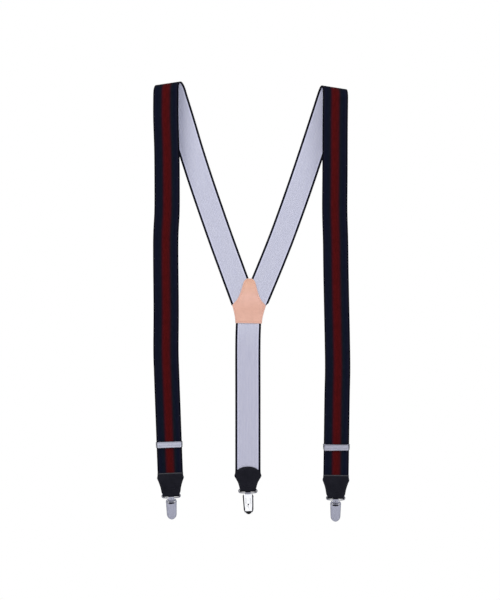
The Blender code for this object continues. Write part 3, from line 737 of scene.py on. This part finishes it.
def return_strap(side):
    """The end of the webbing: round the tab bar, up behind, and over the adjuster's bar."""
    rise, rear = ADJUSTER_RISE, REAR_BAR_DEPTH
    path = [(0, -GAP)] + arc((TAB_LOOP, 0), TAB_LOOP, 195, 360, 12)
    climb = spline_through([(2 * TAB_LOOP, 0.5 * MM), (2 * TAB_LOOP, rise * 0.3),
                            (2 * TAB_LOOP + 0.4 * MM, rise * 0.55),
                            (rear + REAR_LOOP, rise * 0.85), (rear + REAR_LOOP, rise)],
                           3 * MM)
    path += climb[:-1]
    path += arc((rear, rise), REAR_LOOP, 0, 180, 14)
    tail = spline_through([(rear - REAR_LOOP, rise), (rear - REAR_LOOP, rise - 4 * MM),
                           (2 * TAB_LOOP - 1.6 * MM, rise - 13 * MM)], 2 * MM)
    path += tail[1:]
    place = tab_frame(side)
    turn = place.to_3x3()
    across = turn @ Vector((WEBBING_WIDTH * 0.985, 0, 0))
    stations = []
    for i, (y, z) in enumerate(path):
        before, after = Vector(path[max(i - 1, 0)]), Vector(path[min(i + 1, len(path) - 1)])
        way = (after - before).normalized()
        # the striped side stays outside as the webbing turns
        outward = turn @ Vector((0, way.y, -way.x))
        stations.append((place @ Vector((0, y, z)), across, outward))
    piece = webbing(f"strap_{side}_return", stations, None, (f"webbing_{side}_return",))
    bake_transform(piece)


# ---------------------------------------------------------------- solid shapes


def grid_mesh(rows):
    """An open surface through equal rows of points."""
    drawn = bmesh.new()
    grid = [[drawn.verts.new(point) for point in row] for row in rows]
    for upper, lower in zip(grid, grid[1:]):
        for i in range(len(upper) - 1):
            drawn.faces.new((upper[i], lower[i], lower[i + 1], upper[i + 1]))
    bmesh.ops.remove_doubles(drawn, verts=drawn.verts, dist=1e-6)
    return finished(drawn, "surface")


def polygon_mesh(outline):
    """A flat face in the XZ plane."""
    drawn = bmesh.new()
    drawn.faces.new([drawn.verts.new((x, 0, z)) for x, z in outline])
    return finished(drawn, "polygon", outwards=False)


def rectangle(half, low, high):
    """A flat rectangle in the XZ plane."""
    return polygon_mesh([(-half, low), (half, low), (half, high), (-half, high)])


def thick(mesh, thickness, rounding, segments=3, rim=1):
    """A surface made into a sheet with rounded edges; its rim takes a later material."""
    holder = bpy.data.objects.new("holder", mesh)
    bpy.context.scene.collection.objects.link(holder)
    for kind, settings in (
            ("SOLIDIFY", {"thickness": thickness, "offset": 0, "use_even_offset": True,
                          "material_offset_rim": rim}),
            ("BEVEL", {"width": rounding, "segments": segments, "limit_method": "ANGLE",
                       "angle_limit": radians(50), "material": rim})):
        made = holder.modifiers.new(kind.lower(), kind)
        for key, value in settings.items():
            setattr(made, key, value)
    shaped = holder.evaluated_get(bpy.context.evaluated_depsgraph_get())
    result = bpy.data.meshes.new_from_object(shaped)
    bpy.data.objects.remove(holder, do_unlink=True)
    return result


def solid_piece(name, parts, looks, body, slot_name, *replaced, angle=40):
    """One piece made of several parts, each given as (mesh, place, material index or None)."""
    drawn = bmesh.new()
    for part, place, index in parts:
        before = len(drawn.faces)
        start = len(drawn.verts)
        drawn.from_mesh(part)
        drawn.verts.ensure_lookup_table()
        drawn.faces.ensure_lookup_table()
        bmesh.ops.transform(drawn, matrix=place, verts=drawn.verts[start:])
        if index is not None:
            for face in drawn.faces[before:]:
                face.material_index = index
    mesh = finished(drawn, name, outwards=False)
    smooth_shade(mesh, angle)
    return add_object(name, mesh, looks, body, slot_name, *replaced)


def tube(points, radius, sides, closed=False):
    """A round wire through points."""
    points = [Vector(p) for p in points]
    count = len(points)
    drawn = bmesh.new()
    rings = []
    normal = None
    for i, point in enumerate(points):
        before = points[i - 1] if i or closed else point
        after = points[(i + 1) % count] if i < count - 1 or closed else point
        way = (after - before).normalized()
        if normal is None:
            normal = way.orthogonal().normalized()
        normal = (normal - way * normal.dot(way)).normalized()
        side = way.cross(normal)
        rings.append([drawn.verts.new(point + (normal * cos(a) + side * sin(a)) * radius)
                      for a in (2 * pi * k / sides for k in range(sides))])
    pairs = list(zip(rings, rings[1:])) + ([(rings[-1], rings[0])] if closed else [])
    for first, second in pairs:
        offset = 0
        if closed and first is rings[-1]:
            gaps = [(second[k].co - first[0].co).length for k in range(sides)]
            offset = gaps.index(min(gaps))
        for k in range(sides):
            n = (k + 1) % sides
            drawn.faces.new((first[k], first[n], second[(n + offset) % sides],
                             second[(k + offset) % sides]))
    if not closed:
        drawn.faces.new(rings[0][::-1])
        drawn.faces.new(rings[-1])
    return finished(drawn, "tube")


def disc(radius, height, dome):
    """A round head along -Y with a domed face."""
    sides = 20
    rings = [(0.0, -height - dome), (0.45 * radius, -height - dome * 0.8),
             (0.8 * radius, -height - dome * 0.35), (0.95 * radius, -height),
             (radius, -height * 0.8), (radius, 0)]
    turns = [2 * pi * k / sides for k in range(sides + 1)]
    return grid_mesh([[(r * cos(a), y, r * sin(a)) for a in turns] for r, y in rings])


STITCH_PITCH = 2.6 * MM


def stitch_row(line, outward, radius=0.27 * MM):
    """A row of short sunk stitches along a line that lies on a surface."""
    line = [Vector(p) for p in line]
    lengths = [0.0]
    for a, b in zip(line, line[1:]):
        lengths.append(lengths[-1] + (b - a).length)
    count = max(int(lengths[-1] / STITCH_PITCH), 1)
    each = lengths[-1] / count

    def at(run):
        for i in range(1, len(line)):
            if run <= lengths[i] or i == len(line) - 1:
                share = (run - lengths[i - 1]) / max(lengths[i] - lengths[i - 1], 1e-9)
                return line[i - 1].lerp(line[i], share)

    stitches = []
    for k in range(count):
        start, stop = each * (k + 0.13), each * (k + 0.87)
        points = []
        for j in range(6):
            t = j / 5
            rise = radius * (0.75 * sin(pi * t) ** 0.6 - 0.35)
            points.append(at(start + (stop - start) * t) + outward * rise)
        stitches.append((tube(points, radius, 6), Matrix.Identity(4), 0))
    return stitches


# ---------------------------------------------------------------- leather patch

LINING_THICK = 1.2 * MM
EDGE_RINGS = 3  # the first rings of the patch's face, painted as its edge


def patch_outline(inset):
    """The patch's outline, in its own frame, moved in from its edge."""
    side = [tuple(p) for p in spline_through([(0, 0)] + PATCH_HALF, 1.2)]
    side += [tuple(p) for p in spline_through(PATCH_SIDE, 1.2)[1:]]
    low_x, low_z = side[-1]
    floor = low_z + inset
    half = []
    for i, (x, z) in enumerate(side):
        way = Vector(side[min(i + 2, len(side) - 1)]) - Vector(side[max(i - 2, 0)])
        way.normalize()
        half.append((max(x + way.y * inset, 0), max(z - way.x * inset, floor)))
    half += [((low_x - inset) * (1 - k / 12), floor) for k in range(1, 13)]
    points = half + [(-x, z) for x, z in half[-2:0:-1]]
    return [(x * MM, z * MM) for x, z in points]


def patch_half_width(height):
    """Half-width of the patch this far below its apex, in millimetres."""
    table = [(0, 0)] + PATCH_HALF + PATCH_SIDE[1:]
    for (first, high), (second, low) in zip(table, table[1:]):
        if height >= low:
            return first + (second - first) * (high - height) / (high - low)
    return table[-1][0]


def cushion(rings, depth, face):
    """A soft sheet: rings of (inset, height) on its face, and a flat back. Face is -1 or 1."""
    drawn = bmesh.new()
    made = []
    for inset, height in rings:
        made.append([drawn.verts.new((x, depth + face * height, z))
                     for x, z in patch_outline(inset)])
    for index, (first, second) in enumerate(zip(made, made[1:])):
        count = len(first)
        for k in range(count):
            n = (k + 1) % count
            made_face = drawn.faces.new((first[k], first[n], second[n], second[k]))
            made_face.material_index = 1 if index < EDGE_RINGS else 0
    drawn.faces.new(made[-1])
    drawn.faces.new(made[0][::-1]).material_index = 1
    return finished(drawn, "cushion")


def patch_layer(name, top, face, looks, thread_look, slot_name):
    """One leather of the patch, with the stitches sunk along its edge."""
    hung = Matrix.Translation(PATCH_APEX) @ Matrix.Rotation(-PATCH_LEAN, 4, "Y")
    clear = WEBBING_THICK / 2 + GAP
    groove, inset = 0.2 * MM, 2.1
    rings = [(0.0, 0), (0.0, top * 0.55), (0.12, top * 0.8), (0.4, top * 0.97),
             (0.8, top), (1.5, top), (1.8, top - 0.8 * groove), (inset, top - groove),
             (2.4, top - 0.8 * groove), (2.8, top), (3.4, top + 0.08 * MM)]
    shape = cushion(rings, face * clear, face)
    solid_piece(f"{name}_leather", [(shape, hung, None)], looks, "root", slot_name, name,
                angle=60)
    line = [hung @ Vector((x, face * (clear + top - groove), z))
            for x, z in patch_outline(inset)]
    stitches = stitch_row(line + line[:1], hung.to_3x3() @ Vector((0, face, 0)))
    solid_piece(f"{name}_stitches", stitches, (thread_look,), "root", slot_name)


def patch():
    """The leather outside and the lining inside, with the webbing between them."""
    patch_layer("patch_outer", LEATHER_THICK, 1, ("leather", "edge"), "black_thread",
                "black_leather")
    patch_layer("patch_lining", LINING_THICK, -1, ("lining", "lining_rim"), "tan_thread",
                "peach_lining")


# ---------------------------------------------------------------- leather tabs

RING_FOLD_RADIUS = 1.9 * MM
BACK_TAB = (-4.3 * MM, FOLD_RADIUS, -538.5 * MM)

# Each tab: its length, the depths of its front and back leaves at the bar, and which of the two
# faces outwards, -1 for the front one
TABS = {
    "left": (25 * MM, (-1.65 * MM, 5.55 * MM), -1),
    "right": (25 * MM, (-1.65 * MM, 5.55 * MM), -1),
    "back": (21.5 * MM, (-1.65 * MM, 1.65 * MM), 1),
}
# Height from the bar and half-width there, in millimetres
FRONT_TAB_SHAPE = [(13, 17.6), (4, 17.7), (2, 18), (0.4, 18.5), (-1, 18.3), (-3, 17.3),
                   (-8, 15.5), (-13, 14.1), (-18, 13.3), (-20.4, 12.9), (-22, 11.8),
                   (-22.5, 11.3)]
BACK_TAB_SHAPE = [(13, 17.6), (5, 17.6), (2.6, 17.8), (1, 18.5), (-0.3, 18.9), (-1.6, 18.3),
                  (-5.1, 16.2), (-8.5, 14.2), (-12, 12.9), (-15.4, 12), (-19, 11.3)]

STRAIGHT_TOP = 7 * MM  # the top edge of a tab's outer leaf
ROUND_TOP, SHOULDER = 12.5 * MM, 1.5 * MM  # the rounded top edge of its inner leaf
TAB_HOLD = -3 * MM  # the leaves close on the ring from here down
ARCS = ((-17.5, 11), (-14.3, 9))  # the embossed arcs: lowest point and radius, in millimetres


def straight_reading(table, value):
    """A table of (height, half-width) read along straight lines."""
    for (high, first), (low, second) in zip(table, table[1:]):
        if value >= low:
            share = min(max((high - value) / (high - low), 0), 1)
            return first + share * (second - first)
    return table[-1][1]


def reading(table, value):
    """The same table read with its corners rounded."""
    near = [straight_reading(table, value + shift) for shift in (-1, -0.5, 0, 0.5, 1)]
    return sum(near) / len(near)


def frame_of(name):
    """The frame of a tab, front or back, in the row frame."""
    return Matrix.Translation(BACK_TAB) if name == "back" else tab_frame(name)


def fold_height(name):
    """Height of the middle of a tab's fold, from its bar."""
    return -TABS[name][0] + RING_FOLD_RADIUS + LEATHER_THICK / 2


def embossed(x, z):
    """Depth pressed into a tab's face by its two arcs, which open upwards."""
    depth = 0.0
    for lowest, radius in ARCS:
        away = sqrt(x * x + (z - lowest - radius) ** 2)
        if z <= lowest + radius * 0.5 and abs(x) <= radius * 0.8:
            depth += 0.45 * MM * max(0.0, 1 - abs(away - radius) / 0.9) ** 0.7
    return depth


def round_top(u):
    """How far the inner leaf's top edge rises over its shoulders."""
    return (ROUND_TOP - SHOULDER) * rounded(u)


def tab(name):
    """A leather tab: one strip folded round the ring, its edges painted and stitched."""
    length, leaves, outer_side = TABS[name]
    body = "root" if name == "back" else f"tab_{name}_body"
    shape = BACK_TAB_SHAPE if name == "back" else FRONT_TAB_SHAPE
    axis = sum(leaves) / 2
    fold = fold_height(name)
    columns = spread(60)
    down = [0, 0.03] + [0.03 + 0.97 * i / 60 for i in range(1, 60)]

    def half_width(height):
        return reading(shape, height / MM) * MM

    def place(u, height, side):
        """A point of a leaf, by its share of the half-width, its height and its side."""
        share = smooth((height - fold) / (TAB_HOLD - fold))
        near = axis + side * RING_FOLD_RADIUS
        depth = near + share * (leaves[side > 0] - near)
        x = u * half_width(height)
        up = min(max((height - fold) / (8 * MM - fold), 0), 1)
        swell = 0.35 * MM * (1 - u ** 4) * sin(pi * up)
        pressed = embossed(x / MM, height / MM) if side == -1 or name == "back" else 0.0
        return Vector((x, depth + side * (swell - pressed), height))

    def leaf(side):
        rows = []
        for t in down:
            row = []
            for u in columns:
                top = STRAIGHT_TOP if side == outer_side else SHOULDER + round_top(u)
                row.append(place(u, top + t * (fold - top), side))
            rows.append(row)
        return rows

    rows = leaf(-1)
    for turn in range(0, 181, 12):
        angle = radians(turn)
        row = []
        for u in columns:
            droop = (1.0 + 0.3 * u * u) * MM
            row.append(Vector((u * half_width(fold), axis - RING_FOLD_RADIUS * cos(angle),
                               fold - (RING_FOLD_RADIUS + droop) * sin(angle))))
        rows.append(row)
    surface = grid_mesh(rows + leaf(1)[::-1])
    # the outer leaf's top edge takes the painted highlight of light from above
    if name != "back":
        for polygon in surface.polygons:
            if polygon.center.z > STRAIGHT_TOP - 1.3 * MM and polygon.center.y < axis:
                polygon.material_index = 2
    skin = thick(surface, LEATHER_THICK, 0.35 * MM)
    frame_matrix = frame_of(name)
    leather = solid_piece(f"tab_{name}_leather", [(skin, frame_matrix, None)],
                          ("leather", "edge", "painted_highlight_edge", "painted_highlight_edge"), body,
                          "black_leather", f"tab_{name}", angle=50)

    stitches = []
    for side in (-1, 1):
        outward = frame_matrix.to_3x3() @ Vector((0, side, 0))
        lift = Vector((0, side * LEATHER_THICK / 2, 0))
        across = [u * 0.9 for u in columns]
        if side == outer_side:
            lines = [[place(u, STRAIGHT_TOP - 2 * MM, side) for u in across]]
        else:
            lines = [[place(u, SHOULDER - 2.2 * MM + round_top(u), side) for u in across]]
        heights = [-4 * MM + (fold + 7.5 * MM) * i / 29 for i in range(30)]
        for edge in (-1, 1):
            lines.append([place(edge * (1 - 2 * MM / half_width(h)), h, side) for h in heights])
        for line in lines:
            stitches += stitch_row([frame_matrix @ (p + lift) for p in line], outward,
                                   radius=0.24 * MM)
    solid_piece(f"tab_{name}_stitches", stitches, ("black_thread",), body, "black_leather")


# ---------------------------------------------------------------- adjusters

# How far each bar sits from the middle of its frame, and how far it is turned
ADJUSTER_SET = {"left": (0.0, 0.0), "right": (-1.1 * MM, radians(1.4))}
BAR_HALF_WIDTH, BAR_HALF_HEIGHT, BAR_CORNER = 17 * MM, 4.2 * MM, 2.1 * MM
BAR_OUTER, BAR_INNER = -3.75 * MM, -2.95 * MM  # depths of the visible bar's two faces


def bar_half(x):
    """Half-height of the bar at x: its corners are rounded."""
    over = max(abs(x) - (BAR_HALF_WIDTH - BAR_CORNER), 0)
    return BAR_HALF_HEIGHT - BAR_CORNER + BAR_CORNER * rounded(over / BAR_CORNER)


def lid_relief(x, v):
    """Rims along both long edges, a shallow panel between, and plain marks near the ends."""
    height = 0.28 * smooth((abs(v) - 0.62) / 0.1) * (1 - smooth((abs(v) - 0.84) / 0.14))
    height += 0.12 * (1 - smooth((abs(v) - 0.2) / 0.1))
    for centre in (-13.2, -11.8, 11.8, 13.2):
        mark = 1 - smooth((sqrt(((x - centre) / 0.5) ** 2 + (v / 0.34) ** 2) - 0.7) / 0.5)
        height += 0.2 * mark
    return height * MM


def bar_shells():
    """The bar's embossed face, its back, and the four strips that close it."""
    rows = []
    for v in spread(44):
        row = []
        for x in (BAR_HALF_WIDTH * sin(pi / 2 * t) for t in spread(90)):
            fall = 0.4 * MM * smooth((abs(v) - 0.86) / 0.14)
            fall += 0.35 * MM * smooth((abs(x) - BAR_HALF_WIDTH + 0.9 * MM) / (0.9 * MM))
            depth = BAR_OUTER - lid_relief(x / MM, v) * 0.7 + fall
            row.append(Vector((x, depth, v * bar_half(x) - 0.3 * MM)))
        rows.append(row)

    def behind(line):
        return [Vector((p.x, BAR_INNER, p.z)) for p in line]

    borders = [rows[0], rows[-1], [row[0] for row in rows], [row[-1] for row in rows]]
    return ([grid_mesh(rows), grid_mesh([behind(rows[0]), behind(rows[-1])])]
            + [grid_mesh([line, behind(line)]) for line in borders])


def adjuster(side):
    """The slide's visible bar, its lugs round the hinge pin and the lip that grips the webbing."""
    frame_matrix = tab_frame(side) @ Matrix.Translation((0, 0, ADJUSTER_RISE))
    drop, skew = ADJUSTER_SET[side]
    bar_matrix = (frame_matrix @ Matrix.Translation((0, 0, drop))
                  @ Matrix.Rotation(-skew, 4, "Y"))
    parts = [(shell, bar_matrix, None) for shell in bar_shells()]
    radius, foot = 0.95 * MM, -1.2 * MM
    for sign in (-1, 1):
        lug = polygon_mesh([(-radius, foot), (radius, foot)] + arc((0, 0), radius, 0, 180, 12))
        turned = (frame_matrix @ Matrix.Translation((sign * 15.8 * MM, -2.25 * MM, 2.6 * MM))
                  @ Matrix.Rotation(pi / 2, 4, "Z") @ Matrix.Rotation(pi / 2, 4, "Y"))
        parts.append((thick(lug, 0.8 * MM, 0.15 * MM, 2), turned, None))
    lip = rectangle(14 * MM, -0.35 * MM, 0.35 * MM)
    lying = frame_matrix @ Matrix.Translation((0, -2.0 * MM, -3.6 * MM))
    parts.append((thick(lip, 1.9 * MM, 0.12 * MM, 2), lying, None))
    # the left bar takes the nickel painted brighter, as light
    look = "adjuster_light" if side == "left" else "adjuster"
    solid_piece(f"adjuster_{side}_bar", parts, (look, look),
                f"adjuster_{side}_lid_body", "satin_steel", f"adjuster_{side}_lid", angle=35)


# ---------------------------------------------------------------- clips

RING_DROP = 5.5 * MM
RING_WIRE = 0.78 * MM
PIN = Vector((0, -3.4 * MM, -5.2 * MM))
LUG_RADIUS = 1.5 * MM

# In the clip's own frame, in millimetres
PLATE_TOP, PLATE_FOOT, PLATE_HALF_TOP, PLATE_HALF_FOOT = -1.5, -24.7, 6.5, 5.6
PLATE_DEPTH = 1.65 * MM
EYE_CENTRE, EYE_FOOT = 0.2, -3.3
LEVER_FOOT, LEVER_ROUND, HORN_TOP = -29.0, 7.6, -2.4
HORN_INNER, NOTCH = 5.95, -8.2  # the notch between the lever's two horns
PAD_TOP, PAD_FOOT, PAD_HALF = -18.5, -28.6, 3.8


def clip_frames(name):
    """The frames of a ring and of the clip that hangs on it."""
    ring = frame_of(name) @ Matrix.Translation((0, sum(TABS[name][1]) / 2, fold_height(name)))
    if name == "back":
        ring = ring @ Matrix.Rotation(pi, 4, "Z")
    lean = radians(2.5) if name == "back" else 0.0
    clip = ring @ Matrix.Translation((0, 0, -RING_DROP)) @ Matrix.Rotation(lean, 4, "Y")
    return ring, clip


def ring(name, matrix):
    """The D-ring: a straight bar in the leather and a sagging one below it."""
    half = [(0, 0), (6, 0), (10.4, 0), (11.8, -0.5), (12.5, -1.7), (12.5, -3.1), (11.8, -4.2),
            (10.2, -4.8), (7.2, -5.05), (3.6, -5.15), (0, -5.15)]
    loop = half + [(-x, z) for x, z in half[-2:0:-1]]
    path = spline_through(loop + [loop[0]], 0.6)[:-1]
    wire = tube([(p.x * MM, 0, p.y * MM) for p in path], RING_WIRE, 14, closed=True)
    solid_piece(f"clip_{name}_ring_wire", [(wire, matrix, None)], ("ring",),
                f"ring_{name}_body", "chrome", f"clip_{name}_ring")


def plate_half(z):
    """Half-width of the back plate at a height."""
    down = (PLATE_TOP - z) / (PLATE_TOP - PLATE_FOOT)
    return PLATE_HALF_TOP + (PLATE_HALF_FOOT - PLATE_HALF_TOP) * down


def plate_relief(x, z):
    """Two shallow ribs down the plate, and an arc below its rivet, pressed towards the back."""
    rise = 0.0
    if -15 < z < -5:
        rib = max(0.0, 1 - abs(abs(x) - 2.9) / 0.8)
        rise = 0.27 * smooth(rib) * smooth((z + 15) / 1.5) * smooth((-5 - z) / 1.5)
    away = sqrt(x * x + (z + 14.6) ** 2)
    if z < -15.6 and abs(x) < 3:
        rise += 0.38 * smooth(1 - abs(away - 3.1) / 0.6)
    return rise + 0.25 * smooth(1 - sqrt(x * x + (z + 19.3) ** 2) / 1.1)


def plate_sheet():
    """The plate itself: crowned, with rolled sides and rounded upper corners."""
    corner, roll = 1.2, 0.9
    rows = []
    for j in range(70):
        z = PLATE_TOP + (PLATE_FOOT - PLATE_TOP) * j / 69
        half = plate_half(z)
        half -= corner * (1 - rounded(max(corner + z - PLATE_TOP, 0) / corner))
        row = []
        for x in (half * sin(pi / 2 * t) for t in spread(56)):
            crown = 0.22 * (1 - (x / half) ** 2) - 0.1
            crown -= 0.8 * (1 - rounded(min(max((abs(x) - half + roll) / roll, 0), 1)))
            row.append(Vector((x * MM, PLATE_DEPTH + (crown + plate_relief(x, z)) * MM, z * MM)))
        rows.append(row)
    plate = thick(grid_mesh(rows), 0.7 * MM, 0.2 * MM, 2)
    # painted shade: the inner face, which looks forward into the clip, is dark steel below the eye
    # and satin above it, and the rolled sides are dark lines
    for polygon in plate.polygons:
        x, z = abs(polygon.center.x) / MM, polygon.center.z / MM
        if polygon.normal.y < -0.3:
            polygon.material_index = 4 if z > -4.2 else 3
        elif x > plate_half(z) - 0.75:
            polygon.material_index = 3
    return plate


def plate_eye():
    """The strip that curls forward over the ring, with a round end."""
    curl = [(PLATE_DEPTH, -6.5 * MM), (PLATE_DEPTH, -2.6 * MM)]
    curl += arc((0, EYE_CENTRE * MM), PLATE_DEPTH, 0, 180, 18)
    fall = EYE_FOOT - EYE_CENTRE
    curl += [(-PLATE_DEPTH, (EYE_CENTRE + fall * k / 12) * MM) for k in range(13)]
    rows = []
    for y, z in curl:
        low = max((-1.2 - z / MM) / 2.3, 0) if y < 0 else 0
        half = 4 * MM * sqrt(max(1 - low ** 2, 0.05))
        rows.append([Vector((x * half, y, z)) for x in (-1, -0.8, -0.4, 0, 0.4, 0.8, 1)])
    return thick(grid_mesh(rows), 0.5 * MM, 0.12 * MM, 2)


def back_plate(name, matrix):
    """The back plate with its eye round the ring and its ears round the pin."""
    parts = [(plate_sheet(), matrix, None), (plate_eye(), matrix, 2 if name == "back" else 4)]
    knuckle = matrix @ Matrix.Translation((0, -PLATE_DEPTH - 0.2 * MM, -1.3 * MM))
    parts.append((disc(0.55 * MM, 0.1 * MM, 0.1 * MM), knuckle, 3))
    for sign in (-1, 1):
        ear = polygon_mesh(lug_outline(PLATE_DEPTH, -3.4 * MM, -9.5 * MM))
        parts.append((thick(ear, 0.6 * MM, 0.12 * MM, 2), matrix @ side_on(sign * 5.5 * MM),
                      None))
    # the turned-in lip along the foot, in dark steel, also painted as the shadow gap there
    lip = rectangle(5.8 * MM, -26 * MM, -24.6 * MM)
    parts.append((thick(lip, 0.5 * MM, 0.1 * MM, 1),
                  matrix @ Matrix.Translation((0, PLATE_DEPTH - 0.15 * MM, 0)), 3))
    rivet = (matrix @ Matrix.Translation((0, PLATE_DEPTH + 0.35 * MM, -15.6 * MM))
             @ Matrix.Rotation(pi, 4, "Z"))
    parts.append((disc(1.15 * MM, 0.12 * MM, 0.22 * MM), rivet, 3))
    solid_piece(f"clip_{name}_plate", parts,
                ("chrome", "steel", "ring", "dark_steel_painted_shade", "adjuster"), f"clip_{name}_body",
                "chrome", f"clip_{name}_back_plate", angle=35)


def side_on(x):
    """Turns an outline drawn as (depth, height) from the pin into the YZ plane at x."""
    return Matrix(((0, 1, 0, x), (1, 0, 0, PIN.y), (0, 0, 1, PIN.z), (0, 0, 0, 1)))


def lug_outline(foot_depth, foot_top, foot_bottom):
    """A lug's side view: round the pin, with tangents to a foot on its plate."""
    reach = foot_depth - PIN.y
    top = Vector((abs(reach), foot_top - PIN.z))
    bottom = Vector((abs(reach), foot_bottom - PIN.z))
    start = atan2(top.y, top.x) + acos(LUG_RADIUS / top.length)
    end = atan2(bottom.y, bottom.x) - acos(LUG_RADIUS / bottom.length) + 2 * pi
    points = arc((0, 0), LUG_RADIUS, degrees(start), degrees(end), 14)
    points += [tuple(bottom), tuple(top)]
    return [(y if reach > 0 else -y, z) for y, z in points]


def lever_half(z):
    """Half-width of the lever at a height, in millimetres: tapered, with a round foot."""
    half = 7.2 - 0.6 * min(max((-4 - z) / 17, 0), 1)
    return half * rounded(max(LEVER_FOOT + LEVER_ROUND - z, 0) / LEVER_ROUND)


def lever_depth(x, z, outer):
    """The shield's face: crowned both ways, rolled at its sides and dimpled at its foot."""
    depth = -5.45 - 0.4 * (1 - (x / 7.2) ** 2) - 0.25 * sin(pi * (z - LEVER_FOOT) / 26)
    depth += 0.45 * smooth((x - outer + 0.9) / 0.9)
    rise = (z - LEVER_FOOT) / 9
    if 0 < rise < 1:
        depth -= 0.16 * sin(pi * rise) * abs(sin(1.5 * x + 0.8)) * abs(sin(1.2 * z))
    return depth


def lever_sheet():
    """The shield, made of two halves welded down the middle below the notch."""
    heights = [LEVER_FOOT + LEVER_ROUND * (1 - cos(pi / 2 * k / 20)) for k in range(21)]
    straight = NOTCH - heights[-1]
    heights += [heights[20] + straight * k / 24 for k in range(1, 25)]
    heights += [NOTCH + (HORN_TOP - NOTCH) * (k / 16) ** 1.6 for k in range(1, 17)]
    halves = {-1: [], 1: []}
    for z in heights:
        outer = lever_half(z) - 0.6 * (1 - rounded(max(z - HORN_TOP + 1, 0)))
        inner = HORN_INNER * rounded(1 - min((z - NOTCH) / 3.4, 1)) if z > NOTCH else 0.0
        xs = [inner + (outer - inner) * i / 16 for i in range(17)]
        for sign, rows in halves.items():
            rows.append([Vector((sign * x * MM, lever_depth(x, z, outer) * MM, z * MM))
                         for x in xs])
    drawn = bmesh.new()
    for rows in halves.values():
        drawn.from_mesh(grid_mesh(rows))
    weld(drawn)
    bmesh.ops.recalc_face_normals(drawn, faces=drawn.faces)
    for face in drawn.faces:
        if face.normal.y < 0:
            face.normal_flip()
    shield = thick(finished(drawn, "lever", outwards=False), 0.7 * MM, 0.2 * MM, 2, rim=0)
    # the inner face is chrome, with its side strips painted dark as shade
    for polygon in shield.polygons:
        if polygon.normal.y > 0.3:
            x, z = abs(polygon.center.x) / MM, polygon.center.z / MM
            rim = z > -25 and x > max(lever_half(z) - 1.3, 4)
            polygon.material_index = 2 if rim else 1
    return shield


def lever(name, matrix):
    """The lever: a satin shield with a notched top, flanges on the pin, and side walls."""
    parts = [(lever_sheet(), matrix, None)]
    top, foot = -9, -25.6
    # the flanges and side walls are dark steel, painted as the shade along the lever's sides
    for sign in (-1, 1):
        flange = polygon_mesh(lug_outline(-5.4 * MM, -4.2 * MM, -11 * MM))
        parts.append((thick(flange, 0.6 * MM, 0.12 * MM, 2),
                      matrix @ side_on(sign * 6.7 * MM), 2))
        wall = []
        for k in range(40):
            z = top + (foot - top) * k / 39
            x = sign * (lever_half(z) - 0.35)
            wall.append([Vector((x * MM, y * MM, z * MM)) for y in (-5.3, -4.6, -3.9)])
        parts.append((thick(grid_mesh(wall), 0.5 * MM, 0.1 * MM, 1), matrix, 2))
    solid_piece(f"clip_{name}_shield", parts, ("satin", "chrome", "dark_steel_painted_shade"),
                f"lever_{name}_body", "satin_steel", f"clip_{name}_lever", angle=35)


def grip_pad(name, matrix):
    """The rubber pad, with ridges across its gripping face."""
    rows = []
    steps = 54
    for j in range(steps + 1):
        z = PAD_TOP + (PAD_FOOT - PAD_TOP) * j / steps
        over = max(z - (PAD_TOP - PAD_HALF), PAD_FOOT + PAD_HALF - z, 0)
        reach = sqrt(max(PAD_HALF ** 2 - over ** 2, 0.02))
        ridge = 0.25 * abs(sin(pi * (z - PAD_TOP) / 1.1))
        rows.append([Vector((u * reach * MM, (0.2 + ridge * (1 - u ** 6)) * MM, z * MM))
                     for u in spread(16)])
    parts = [(thick(grid_mesh(rows), 1.2 * MM, 0.2 * MM, 2), matrix, None)]
    solid_piece(f"clip_{name}_rubber", parts, ("rubber", "rubber"), f"jaw_{name}_body",
                "black_rubber", f"clip_{name}_grip_pad", angle=50)


def clip(name):
    """A whole clip below its tab: ring, back plate, lever and grip pad."""
    ring_matrix, clip_matrix = clip_frames(name)
    ring(name, ring_matrix)
    back_plate(name, clip_matrix)
    lever(name, clip_matrix)
    grip_pad(name, clip_matrix)


for side in STRAPS:
    strap(side)
    return_strap(side)
back_strap()
patch()
for name in TABS:
    tab(name)
    clip(name)
for side in STRAPS:
    adjuster(side)


# ---------------------------------------------------------------- every other CAD node

CAD_LOOKS = {
    "tab_left": "leather", "tab_right": "leather", "tab_back": "leather",
    "patch_outer": "leather", "patch_lining": "lining",
    "ring": "chrome", "back_plate": "chrome", "rivet": "chrome", "pin": "satin",
    "spring": "satin", "lever": "satin", "jaw": "chrome", "grip_pad": "rubber",
    # the adjuster frames take the darker steel painted as shade, so their edges read as dark outlines
    "frame": "steel", "lid": "adjuster", "bar": "steel",
}
for name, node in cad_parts.items():
    for ending, look in CAD_LOOKS.items():
        if name.endswith(ending):
            node.data.materials.clear()
            node.data.materials.append(LOOKS[look])
